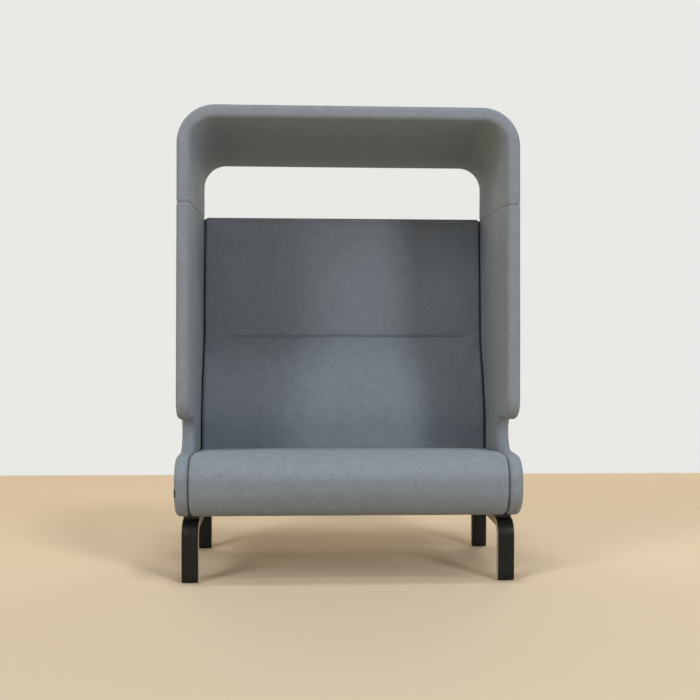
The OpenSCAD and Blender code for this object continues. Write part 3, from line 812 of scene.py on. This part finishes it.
class SOFA_OT_seat(bpy.types.Operator):
    """Upholster the seat with its round nose and crowned top"""

    bl_idname = "sofa.seat"
    bl_label = "Seat"

    def execute(self, context):
        s = sizes()
        half = SEAT_HIGH.x
        bm = bmesh.new()
        pen = Pen(bm, place(s.nose_low_r, BODY_Z, -half))
        draw_nose(pen, -half)
        pen.line(place(s.seat_flat, s.seat_z, -half))
        pen.line(place(SEAT_DEPTH, s.seat_rear_z, -half))
        pen.line(place(SEAT_DEPTH, BODY_Z, -half))
        solid(bm, pen.fill(), X, 2 * half)
        rear_edge = [e for e in bm.edges if lies(e, Y, SEAT_HIGH.y) and lies(e, Z, s.seat_rear_z)]
        rounded(bm, rim(bm, X, [-half, half]) + rear_edge, s.end_r)
        sliced(bm, X, steps(s.end_r - half, half - s.end_r, FINE))
        sliced(bm, Y, steps(NOSE_Y + s.nose_top_r, SEAT_HIGH.y - s.end_r, FINE))
        sliced(bm, Z, steps(BODY_Z + s.nose_low_r, s.seat_z - s.nose_top_r, FINE))
        # The underside steps up at the dust cloth's front edge and runs over the cloth
        sliced(bm, Y, [CLOTH_LOW.y - LAP, CLOTH_LOW.y])
        for v in bm.verts:
            if v.co.y > CLOTH_LOW.y - TINY:
                v.co.z = max(v.co.z, CLOTH_HIGH.z - LAP)
        moved(bm, self.crown)
        sewn = half - slant(s.end_r)
        inflated(bm, lambda co: self.held(co, sewn), most=0.005, pressure=0.3)
        for x in (-sewn, sewn):
            seam(bm, X, x)
        uneven(bm, height=0.0012, size=0.21, seed=5.0)
        seat = piece("seat_cushion", bm, [felt()], "felt", "seat_cover")
        return {"FINISHED"}

    def crown(self, co):
        """Raises the top a little across the width. The swelling does the rest."""
        s = sizes()
        across = max(0.0, 1.0 - (co.x / (SEAT_HIGH.x - s.end_r)) ** 2)
        up = max(0.0, (co.z - s.seat_rear_z) / (s.seat_z - s.seat_rear_z))
        return Vector((0.0, 0.0, CROWN_SHARE * s.crown * across * min(1.0, up * 3.0)))

    def held(self, co, sewn):
        """The seat is fixed under and behind, and beyond its end seams."""
        fixed_h = 0.02
        return abs(co.x) > sewn - TINY or co.z < BODY_Z + fixed_h or co.y > SEAT_HIGH.y - sizes().end_r


# Front of the back from its foot to its top: heights over the seat's rear, and depths behind it
BACK_PROFILE = (
    (0.000, 0.000), (0.047, 0.007), (0.112, 0.009), (0.150, 0.016), (0.192, 0.029), (0.272, 0.055),
    (0.351, 0.092), (0.422, 0.124), (0.469, 0.135), (0.595, 0.142), (0.721, 0.155), (0.848, 0.169), (0.918, 0.174),
)


def back_front(height):
    """Depth of the back's front at a height, smoothly through the profile's points."""
    points = BACK_PROFILE
    last = len(points) - 1
    rise = min(max(height - sizes().seat_rear_z, 0.0), points[last][0])
    i = next(k for k in range(1, last + 1) if rise <= points[k][0] or k == last)

    def slope(k):
        low, high = points[max(k - 1, 0)], points[min(k + 1, last)]
        return (high[1] - low[1]) / (high[0] - low[0])

    (z0, d0), (z1, d1) = points[i - 1], points[i]
    t, run = (rise - z0) / (z1 - z0), z1 - z0
    return SEAT_DEPTH + (
        d0 * (1 + 2 * t) * (1 - t) ** 2 + d1 * t * t * (3 - 2 * t)
        + run * (slope(i - 1) * t * (1 - t) ** 2 + slope(i) * t * t * (t - 1))
    )


def sunk(bm, face, margin, wall, shift):
    """Moves a face inside a margin, with a steep wall round it."""
    bmesh.ops.inset_region(bm, faces=[face], thickness=margin)
    bmesh.ops.inset_region(bm, faces=[face], thickness=wall)
    bmesh.ops.translate(bm, verts=face.verts, vec=shift)


class SOFA_OT_back(bpy.types.Operator):
    """Upholster the tall back cushion, with its sewn channel, and close it at the rear"""

    bl_idname = "sofa.back"
    bl_label = "Back"

    # Depth of the front's padding that the crown and the channel move
    skin = 0.03
    # Distances above and below the channel at which the front is cut
    channel_cuts = (0.003, 0.007, 0.013, 0.022)

    def faces_front(self, edge):
        """Whether an edge is on the front of the back."""
        slack = 0.012
        return all(v.co.y < NOSE_Y + back_front(v.co.z) + slack for v in edge.verts)

    def between(self, edge, reach):
        """Whether an edge is nearer the middle than a reach."""
        return all(abs(v.co.x) < reach for v in edge.verts)

    def held(self, co, sewn, band):
        """The back is fixed behind and below, and along its top and end seams."""
        padding = 0.02
        behind = co.y > NOSE_Y + back_front(co.z) + padding or co.z < sizes().seat_rear_z + TINY
        return behind or abs(co.x) > sewn - TINY or co.z > band - TINY

    def crown(self, co):
        """Crowns the front across the width. The swelling does the rest."""
        s = sizes()
        if co.y - NOSE_Y > back_front(co.z) + self.skin:
            return Vector()
        foot_fade, top_fade = 0.1, 0.08
        across = max(0.0, 1.0 - (co.x / (BACK_HIGH.x - s.end_r)) ** 2)
        from_foot, from_top = (co.z - s.seat_rear_z) / foot_fade, (JOINT_Z - co.z) / top_fade
        share = min(1.0, max(0.0, from_foot), max(0.0, from_top))
        return Vector((0.0, -CROWN_SHARE * s.crown * across * share, 0.0))

    def channel(self, co):
        """Sinks the channel into the swollen front, but not into the foam behind the cover."""
        s = sizes()
        run_out, slope_h, to_foam = 0.03, 0.010, 0.0040
        front = back_front(co.z)
        depth = co.y - NOSE_Y
        if depth > front + self.skin:
            return Vector()
        fade = min(1.0, max(0.0, (BACK_HIGH.x - s.channel_margin - abs(co.x)) / run_out))
        fade *= fade * (3 - 2 * fade)
        groove = exp(-abs(co.z - s.channel_z) / slope_h) * s.channel_deep * fade
        return Vector((0.0, min(groove, max(0.0, front + to_foam - depth)), 0.0))

    def outline(self, bm, x, foot, top):
        """The face of the back's section, from its foot to its rounded top."""
        s = sizes()
        pen = Pen(bm, place(SEAT_DEPTH, foot, x))
        pen.line(place(SEAT_DEPTH, s.seat_rear_z, x))
        for height in steps(s.seat_rear_z, top, 0.015) + [top]:
            pen.line(place(back_front(height), height, x))
        pen.arc(place(BACK_REAR - s.back_top_t + s.back_top_r, top, x), -90.0, step=10.0)
        pen.line(place(BACK_REAR, JOINT_Z, x))
        pen.line(place(BACK_REAR, foot, x))
        return pen.fill()

    def pressed(self, bm, half):
        """Presses the ends into the felt of the side panels near the rear, so that no light passes."""
        edge_r, press, rear_band, end_band = sizes().edge_r, 0.0012, 0.005, 0.003
        start = BACK_HIGH.y - edge_r - 0.006
        sliced(bm, Y, [start])
        for v in bm.verts:
            band = rear_band if v.co.y > BACK_HIGH.y - rear_band else end_band
            if v.co.y > start - TINY and abs(v.co.x) > half - band:
                v.co.x += copysign(INNER_X + press - half, v.co.x)

    def execute(self, context):
        s = sizes()
        half, rear = BACK_HIGH.x, BACK_HIGH.y
        foot, top = CLOTH_HIGH.z - LAP, JOINT_Z - s.back_top_r
        # The upper seam runs just below the rounded upper edge
        band = top - 0.001
        rear_r, margin, wall, recess = 0.004, 0.0036, 0.0005, 0.0035
        bm = bmesh.new()
        solid(bm, self.outline(bm, -half, foot, top), X, 2 * half)
        rounded(bm, rim(bm, X, [-half, half], lambda e: not lies(e, Y, rear)), s.end_r)
        rounded(bm, rim(bm, Y, [rear], lambda e: not lies(e, Z, foot)), rear_r, 3)
        self.pressed(bm, half)
        # The rear panel lies in a recess
        face = next(f for f in bm.faces if lies(f, Y, rear))
        sunk(bm, face, margin, wall, -face.normal * recess)
        sliced(bm, X, steps(s.end_r - half, half - s.end_r, FINE))
        beside = [s.channel_z + sign * t for sign in (-1, 1) for t in self.channel_cuts]
        sliced(bm, Z, [s.channel_z] + beside)
        sliced(bm, Z, [band])
        moved(bm, self.crown)
        row = [v for v in bm.verts if abs(v.co.z - s.channel_z) < TINY]
        sewn = half - slant(s.end_r)
        inflated(bm, lambda co: self.held(co, sewn, band), most=0.006, pressure=1.0)
        for v in row:
            v.co.z = s.channel_z
        moved(bm, self.channel)
        for x in (-sewn, sewn):
            seam(bm, X, x, lambda e: not lies(e, Y, rear))
        for z, reach, share in ((band, half - s.end_r, 0.7), (s.channel_z, half - s.channel_margin, 1.0)):
            seam(bm, Z, z, lambda e: self.faces_front(e) and self.between(e, reach), share)
        uneven(bm, height=0.0006, size=0.23, seed=8.0)
        back = piece("back_cushion", bm, [felt()], "felt", "back_cover")
        self.closing_panel()
        return {"FINISHED"}

    def closing_panel(self):
        """The felt-covered board that closes the rear."""
        gap, proud, edge_r, pitch = 0.003, 0.0004, 0.0025, 0.035
        low = BOARD_LOW + Vector((gap, 0.0, gap))
        high = BOARD_HIGH + Vector((-gap, proud, -gap))
        bm = bmesh.new()
        block(bm, low, high)
        rear = [f for f in bm.faces if lies(f, Y, high.y)]
        rounded(bm, list({e for f in rear for e in f.edges}), edge_r, 4)
        sliced(bm, X, steps(low.x, high.x, pitch))
        sliced(bm, Z, steps(low.z, high.z, pitch))
        uneven(bm, height=0.0006, size=0.2, seed=21.0)
        piece("rear_panel", bm, [felt()], "felt", "back_closing_board")


class SOFA_OT_leg_frames(bpy.types.Operator):
    """Bend the two laminated leg frames, black on their faces and pale on the layers' edges"""

    bl_idname = "sofa.leg_frames"
    bl_label = "Leg frames"

    def along(self, co):
        """Distance along the strip, and depth below its outer face."""
        s = sizes()
        front, rear, top = LEG_LOW.y, LEG_HIGH.y, LEG_HIGH.z
        middle = (front + rear) / 2
        y = abs(co.y - middle)
        centre_y, centre_z = (rear - front) / 2 - s.bend_r, top - s.bend_r
        bend = s.bend_r * pi / 2
        if co.z < centre_z:
            run, below = centre_y + bend + centre_z - co.z, (rear - front) / 2 - y
        elif y < centre_y:
            run, below = y, top - co.z
        else:
            a = atan2(y - centre_y, co.z - centre_z)
            run, below = centre_y + s.bend_r * a, s.bend_r - hypot(y - centre_y, co.z - centre_z)
        return (run if co.y > middle else -run), below

    def outline(self, bm, x):
        """The face of the strip's side: its outer line from front to rear, and its inner line back."""
        s = sizes()
        front, rear, top, foot = LEG_LOW.y, LEG_HIGH.y, LEG_HIGH.z, LEG_LOW.z
        at = lambda y, z: Vector((x, y, z))
        front_bend, rear_bend = at(front + s.bend_r, top - s.bend_r), at(rear - s.bend_r, top - s.bend_r)
        pen = Pen(bm, at(front, foot))
        pen.line(at(front, top - s.bend_r))
        pen.arc(front_bend, -90.0, step=5.0)
        pen.line(at(rear - s.bend_r, top))
        pen.arc(rear_bend, -90.0, step=5.0)
        pen.line(at(rear, foot))
        pen.line(at(rear - s.leg_t, foot))
        pen.line(at(rear - s.leg_t, top - s.bend_r))
        pen.arc(rear_bend, 90.0, step=5.0)
        pen.line(at(front + s.bend_r, top - s.leg_t))
        pen.arc(front_bend, 90.0, step=5.0)
        pen.line(at(front + s.leg_t, foot))
        return pen.fill()

    def unrolled(self, bm):
        """Unrolls the strip to a UV layer, and gives its flanks the material of the layers' edges."""
        layout = bm.loops.layers.uv.new("strip")
        bm.normal_update()
        for face in bm.faces:
            flank = abs(face.normal.x) > 0.6
            face.material_index = 1 if flank else 0
            for loop in face.loops:
                run, below = self.along(loop.vert.co)
                loop[layout].uv = (run, below if flank else loop.vert.co.x)

    def execute(self, context):
        edge_r, first_cut = 0.0016, 0.002
        for side, node in ((-1, "left_leg_frame"), (1, "right_leg_frame")):
            low_x, high_x = sorted((side * LEG_LOW.x, side * LEG_HIGH.x))
            bm = bmesh.new()
            solid(bm, self.outline(bm, low_x), X, high_x - low_x)
            rounded(bm, list(set(rim(bm, X, [low_x, high_x]) + rim(bm, Z, [LEG_LOW.z]))), edge_r, 3)
            sliced(bm, Z, steps(LEG_LOW.z + first_cut, LEG_HIGH.z - sizes().bend_r, BROAD))
            self.unrolled(bm)
            name = node.replace("_frame", "_strip")
            piece(name, bm, [stained_wood(), laminate_edges()], "bent_wood", node, sharp=50)
        return {"FINISHED"}


class SOFA_OT_floor_glides(bpy.types.Operator):
    """Turn the four round floor glides, with their rounded lower edges"""

    bl_idname = "sofa.floor_glides"
    bl_label = "Floor glides"

    def execute(self, context):
        radius, rim_r = 0.011, 0.0009
        low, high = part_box("floor_glides")
        across, along = (low.x + radius, -low.x - radius), (low.y + radius, high.y - radius)
        bm = bmesh.new()
        for face in [disc(bm, Vector((x, y, 0.0)), radius, 40) for x in across for y in along]:
            lower = list(face.edges)
            pushed(bm, face, Vector((0.0, 0.0, LEG_LOW.z)))
            rounded(bm, lower, rim_r, 3)
        bmesh.ops.recalc_face_normals(bm, faces=bm.faces)
        piece("glide_discs", bm, [black_plastic()], "black_plastic", "floor_glides", sharp=40)
        return {"FINISHED"}


class SOFA_OT_leg_bolts(bpy.types.Operator):
    """Turn the leg bolts, with their socket heads under the leg frames"""

    bl_idname = "sofa.leg_bolts"
    bl_label = "Leg bolts"

    def execute(self, context):
        low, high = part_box("leg_bolts")
        head_r, head_h, rim_r, shank_r = 0.007, 0.0045, 0.0008, 0.004
        socket_r, socket_deep, socket_wall = 0.0028, 0.0026, 0.0001
        up = Vector((0.0, 0.0, 1.0))
        bm = bmesh.new()
        for x, y in self.places():
            centre = Vector((x, y, low.z))
            face = disc(bm, centre, head_r, 32)
            lower = list(face.edges)
            cap = pushed(bm, face, up * head_h)
            bmesh.ops.inset_region(bm, faces=[cap], thickness=head_r - shank_r)
            pushed(bm, cap, up * (high.z - low.z - head_h))
            bmesh.ops.delete(bm, geom=[cap], context="FACES_ONLY")
            rounded(bm, lower, rim_r, 3)
            near = lambda f: (f.calc_center_median() - centre).length < head_r
            bottom = next(f for f in bm.faces if lies(f, Z, low.z) and near(f))
            sunk(bm, bottom, head_r - rim_r - socket_r, socket_wall, up * socket_deep)
        bmesh.ops.recalc_face_normals(bm, faces=bm.faces)
        piece("leg_socket_bolts", bm, [zinc()], "steel", "leg_bolts", sharp=35)
        return {"FINISHED"}

    def places(self):
        """Middles of the bolts, read from the frame's bolt heads."""
        lowest, head_d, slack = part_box("leg_bolts")[0].z, 0.016, 0.0001
        found = []
        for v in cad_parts["leg_bolts"].data.vertices:
            if v.co.z > lowest + slack:
                continue
            near = next((f for f in found if hypot(v.co.x - f[0].x, v.co.y - f[0].y) < head_d), None)
            if near is None:
                found.append([v.co.copy()])
            else:
                near.append(v.co.copy())
        middle = lambda cloud, i: (min(c[i] for c in cloud) + max(c[i] for c in cloud)) / 2
        return [(middle(cloud, X), middle(cloud, Y)) for cloud in found]


class SOFA_OT_dust_cloth(bpy.types.Operator):
    """Stretch the black cloth under the seat, stapled along its folded edges"""

    bl_idname = "sofa.dust_cloth"
    bl_label = "Dust cloth"

    def execute(self, context):
        inset, front_inset, hem, hem_t, fold, pitch = 0.003, 0.0004, 0.014, 0.0006, 0.0015, 0.04
        low = CLOTH_LOW + Vector((inset, front_inset, 0.0))
        high = CLOTH_HIGH - Vector((inset, inset, 0.0))
        bm = bmesh.new()
        block(bm, low, high)
        bottom = next(f for f in bm.faces if lies(f, Z, low.z))
        sunk(bm, bottom, hem, fold, Vector((0.0, 0.0, hem_t)))
        sliced(bm, X, steps(low.x, high.x, pitch))
        sliced(bm, Y, steps(low.y, high.y, pitch))
        cloth = piece("dust_cloth", bm, [spun_cloth()], "dust_cloth", "dust_cover", sharp=40)
        self.staples(low, high, hem / 2)
        return {"FINISHED"}

    def staples(self, low, high, inset):
        """A row of wire staples along each edge of the cloth."""
        crown, wire, pitch = 0.010, 0.0006, 0.055
        z = low.z - wire / 2
        across = [(x, y, 0.0) for y in (low.y + inset, high.y - inset) for x in steps(low.x, high.x, pitch)]
        along = [(x, y, 90.0) for x in (low.x + inset, high.x - inset) for y in steps(low.y, high.y, pitch)]
        bm = bmesh.new()
        for x, y, turn in across + along:
            made = bmesh.ops.create_cube(bm, size=1.0)["verts"]
            turned = Matrix.Translation((x, y, z)) @ Matrix.Rotation(radians(turn), 4, "Z")
            bmesh.ops.transform(bm, verts=made, matrix=turned @ Matrix.Diagonal((crown, wire, wire, 1.0)))
        piece("cloth_staples", bm, [zinc()], "steel", sharp=30)


class SOFA_OT_blank_tab(bpy.types.Operator):
    """Fold the blank tab of black tape that is sewn into the left panel's seam"""

    bl_idname = "sofa.blank_tab"
    bl_label = "Blank tab"

    def execute(self, context):
        middle = (TAB_LOW + TAB_HIGH) / 2
        size = TAB_HIGH - TAB_LOW
        reach = hypot(size.x, size.y) * 0.98
        thick, fold_r, stitch_x, stitch_w, stitch_share = 0.0012, 0.00055, 0.0019, 0.0003, 0.72
        edge_x = -reach / 2
        bm = bmesh.new()
        bmesh.ops.create_cube(bm, size=1.0)
        bmesh.ops.transform(bm, verts=bm.verts, matrix=Matrix.Diagonal((reach, thick, size.z, 1.0)))
        upright = lambda edge: not lies(edge, Z, -size.z / 2) and not lies(edge, Z, size.z / 2)
        rounded(bm, rim(bm, X, [edge_x], upright), fold_r, 4)
        sliced(bm, X, [edge_x + stitch_x + t for t in (-stitch_w, 0.0, stitch_w)])
        for v in bm.verts:
            if abs(v.co.x - edge_x - stitch_x) < stitch_w / 3:
                v.co.y *= stitch_share
        turn = Matrix.Rotation(radians(45.0), 4, "Z")
        bmesh.ops.transform(bm, verts=bm.verts, matrix=Matrix.Translation(middle) @ turn)
        piece("blank_tab", bm, [woven_tape()], "tab_cloth", "side_tab", sharp=40)
        return {"FINISHED"}


# Turns of the wood's grain
ALONG_X = (0.0, 0.0, 0.0)
ALONG_Y = (0.0, 0.0, radians(90))
ALONG_Z = (0.0, radians(90), 0.0)
# Finishes of the CAD nodes that stay as they are
KEPT = (
    (lambda: plain_wood("planed_wood_x", ALONG_X), (
        "base_front_rail", "base_middle_rail", "base_rear_rail", "back_top_rail", "back_middle_rails", "hood_shell",
    )),
    (lambda: plain_wood("planed_wood_y", ALONG_Y), (
        "base_left_rail", "base_right_rail", "base_centre_rail", "base_corner_blocks",
    )),
    (lambda: plain_wood("planed_wood_z", ALONG_Z), (
        "back_left_rib", "back_right_rib", "back_centre_rib", "left_side_board", "right_side_board",
        "hood_dowels",
    )),
    (cut_foam, ("seat_foam", "back_foam")),
    (webbing, ("seat_webbing", "back_webbing")),
    (zinc, ("leg_washers", "leg_inserts", "side_bolts", "side_inserts", "back_bolts", "back_inserts")),
    (black_plastic, ("rail_spacers",)),
)


class SOFA_OT_inner_frame(bpy.types.Operator):
    """Finish the wooden frame, foam, webbing and fixings inside the sofa"""

    bl_idname = "sofa.inner_frame"
    bl_label = "Inner frame"

    def execute(self, context):
        for make, nodes in KEPT:
            for node in nodes:
                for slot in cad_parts[node].material_slots:
                    slot.material = make()
        return {"FINISHED"}


# Height that the lamps look at
AIM_Z = 0.9
# Name, azimuth and elevation in degrees, distance and size in metres, power in watts, and tint
LAMPS = (
    ("window_left", -45, 38, 9.0, 1.5, 125.0, (0.98, 1.01, 1.02)),
    ("middle_left", -45, 28, 9.0, 1.5, 129.0, (0.95, 1.00, 1.05)),
    ("front_left", -36, 20, 9.0, 1.5, 76.0, (0.90, 0.99, 1.11)),
    ("low_left", -72, 3, 9.0, 1.5, 112.0, (1.34, 1.09, 0.57)),
    ("window_right", 35, 20, 9.0, 1.5, 239.0, (0.94, 0.99, 1.07)),
    ("upper_right", 35, 58, 9.0, 1.5, 175.0, (0.97, 1.00, 1.03)),
    ("low_right", 70, 8, 4.6, 1.6, 40.0, (0.97, 1.02, 1.01)),
    ("overhead", 0, 82, 9.0, 1.5, 275.0, (0.95, 1.01, 1.04)),
    ("rear_right", 150, 12, 7.0, 2.5, 85.0, (1.25, 1.05, 0.70)),
    ("rear_left", -150, 12, 7.0, 2.5, 68.0, (1.20, 1.00, 0.80)),
)


class SOFA_OT_stage(bpy.types.Operator):
    """Set the floor, the wall, the soft lights and the camera"""

    bl_idname = "sofa.stage"
    bl_label = "Stage"

    def plane(self, name, corners, material):
        """A flat four-sided backdrop through its corners."""
        bm = bmesh.new()
        for corner in corners:
            bmesh.ops.create_vert(bm, co=corner)
        bmesh.ops.contextual_create(bm, geom=bm.verts[:])
        made = meshed(name, bm, [material])
        return made

    def seen(self, tree):
        """1 for the rays that show the backdrop: the camera's own, mirrored and passed through."""
        rays = add(tree, "LightPath").outputs
        mirrored = math(tree, "MAXIMUM", rays["Is Camera Ray"], rays["Is Glossy Ray"])
        return math(tree, "MAXIMUM", mirrored, rays["Is Transmission Ray"])

    def plain(self, name, shade, one_sided):
        """A matt plain material, clear from behind where it is one-sided."""
        material = bpy.data.materials.new(name)
        tree = emptied(material)
        surface = add(tree, "BsdfDiffuse", {"Color": shade}).outputs[0]
        if one_sided:
            clear = add(tree, "BsdfTransparent").outputs[0]
            behind = add(tree, "NewGeometry").outputs["Backfacing"]
            glow = add(tree, "Emission", {"Color": shade}).outputs[0]
            surface = add(tree, "MixShader", {0: self.seen(tree), 1: surface, 2: glow}).outputs[0]
            surface = add(tree, "MixShader", {0: behind, 1: surface, 2: clear}).outputs[0]
        add(tree, "OutputMaterial", {"Surface": surface})
        return material

    def lamp(self, name, azimuth, elevation, distance, size, power, tint):
        """A soft square light that looks at the sofa. Its azimuth is 0 in front and 90 to the right."""
        light = bpy.data.lights.new(name, "AREA")
        light.shape, light.size, light.energy, light.color = "SQUARE", size, power, tint
        around, up = radians(azimuth), radians(elevation)
        towards = Vector((sin(around) * cos(up), -cos(around) * cos(up), sin(up)))
        made = linked(name, light)
        made.location = Vector((0.0, 0.0, AIM_Z)) + towards * distance
        made.rotation_euler = (-towards).to_track_quat("-Z", "Y").to_euler()

    def camera(self):
        """The photograph's camera, fitted to the sofa's own edges."""
        right = Vector((0.99881812, -0.04849167, 0.00330539))
        down = Vector((0.00181391, -0.03076922, -0.99952487))
        ahead = Vector((0.04857033, 0.99834954, -0.03064490))
        data = bpy.data.cameras.new("camera")
        data.lens, data.sensor_width = 54.0, 36.0
        made = linked("camera", data)
        turn = Matrix((right, -down, -ahead)).transposed().to_4x4()
        made.matrix_world = Matrix.Translation((-0.1827, -4.0666, 0.9577)) @ turn
        bpy.context.scene.camera = made

    def world(self):
        """A dim even sky that the camera sees as the wall's colour."""
        world = bpy.data.worlds.new("studio")
        tree = emptied(world)
        dim = add(tree, "Background", {"Color": (1.0, 0.99, 0.97, 1.0), "Strength": 0.02}).outputs[0]
        wall = add(tree, "Background", {"Color": tone("wall"), "Strength": 1.0}).outputs[0]
        mixed = add(tree, "MixShader", {0: self.seen(tree), 1: dim, 2: wall}).outputs[0]
        add(tree, "OutputWorld", {"Surface": mixed})
        bpy.context.scene.world = world

    def execute(self, context):
        wide, floor_front, floor_rear, wall_y, wall_h = 9.0, -12.0, 8.0, 2.33, 6.0
        ends = ((-wide, floor_front), (wide, floor_front), (wide, floor_rear), (-wide, floor_rear))
        self.plane("floor", [(x, y, 0.0) for x, y in ends], self.plain("plain_floor", tone("floor"), False))
        ends = ((-wide, wall_h), (wide, wall_h), (wide, 0.0), (-wide, 0.0))
        wall = self.plane("wall", [(x, wall_y, z) for x, z in ends], self.plain("plain_wall", tone("wall"), True))
        wall.visible_shadow = False
        for lamp in LAMPS:
            self.lamp(*lamp)
        self.camera()
        self.world()
        context.scene.view_settings.view_transform = "Standard"
        return {"FINISHED"}


class SOFA_PT_build(bpy.types.Panel):
    """Lists the sofa's pieces, sizes and colours"""

    bl_label = "High-back sofa"
    bl_idname = "SOFA_PT_build"
    bl_space_type = "VIEW_3D"
    bl_region_type = "UI"
    bl_category = "Sofa"

    def draw(self, context):
        column = self.layout.column(align=True)
        for operator in OPERATORS:
            column.operator(operator.bl_idname)
        for group in (context.scene.sofa_sizes, context.scene.sofa_colours):
            box = self.layout.box()
            for name in group.__annotations__:
                box.prop(group, name)


OPERATORS = (
    SOFA_OT_stage,
    SOFA_OT_side_panels,
    SOFA_OT_hood,
    SOFA_OT_seat,
    SOFA_OT_back,
    SOFA_OT_leg_frames,
    SOFA_OT_floor_glides,
    SOFA_OT_leg_bolts,
    SOFA_OT_dust_cloth,
    SOFA_OT_blank_tab,
    SOFA_OT_inner_frame,
)
CLASSES = (SofaSizes, SofaColours, *OPERATORS, SOFA_PT_build)


def register():
    """Registers the classes, and puts the settings on the scene."""
    for cls in CLASSES:
        bpy.utils.register_class(cls)
    bpy.types.Scene.sofa_sizes = PointerProperty(type=SofaSizes)
    bpy.types.Scene.sofa_colours = PointerProperty(type=SofaColours)


def unregister():
    """Takes the settings and the classes away."""
    del bpy.types.Scene.sofa_colours
    del bpy.types.Scene.sofa_sizes
    for cls in reversed(CLASSES):
        bpy.utils.unregister_class(cls)


def main():
    """Builds every piece."""
    register()
    bpy.ops.sofa.stage()
    bpy.ops.sofa.side_panels()
    bpy.ops.sofa.hood()
    bpy.ops.sofa.seat()
    bpy.ops.sofa.back()
    bpy.ops.sofa.leg_frames()
    bpy.ops.sofa.floor_glides()
    bpy.ops.sofa.leg_bolts()
    bpy.ops.sofa.dust_cloth()
    bpy.ops.sofa.blank_tab()
    bpy.ops.sofa.inner_frame()


if __name__ == "__main__":
    main()
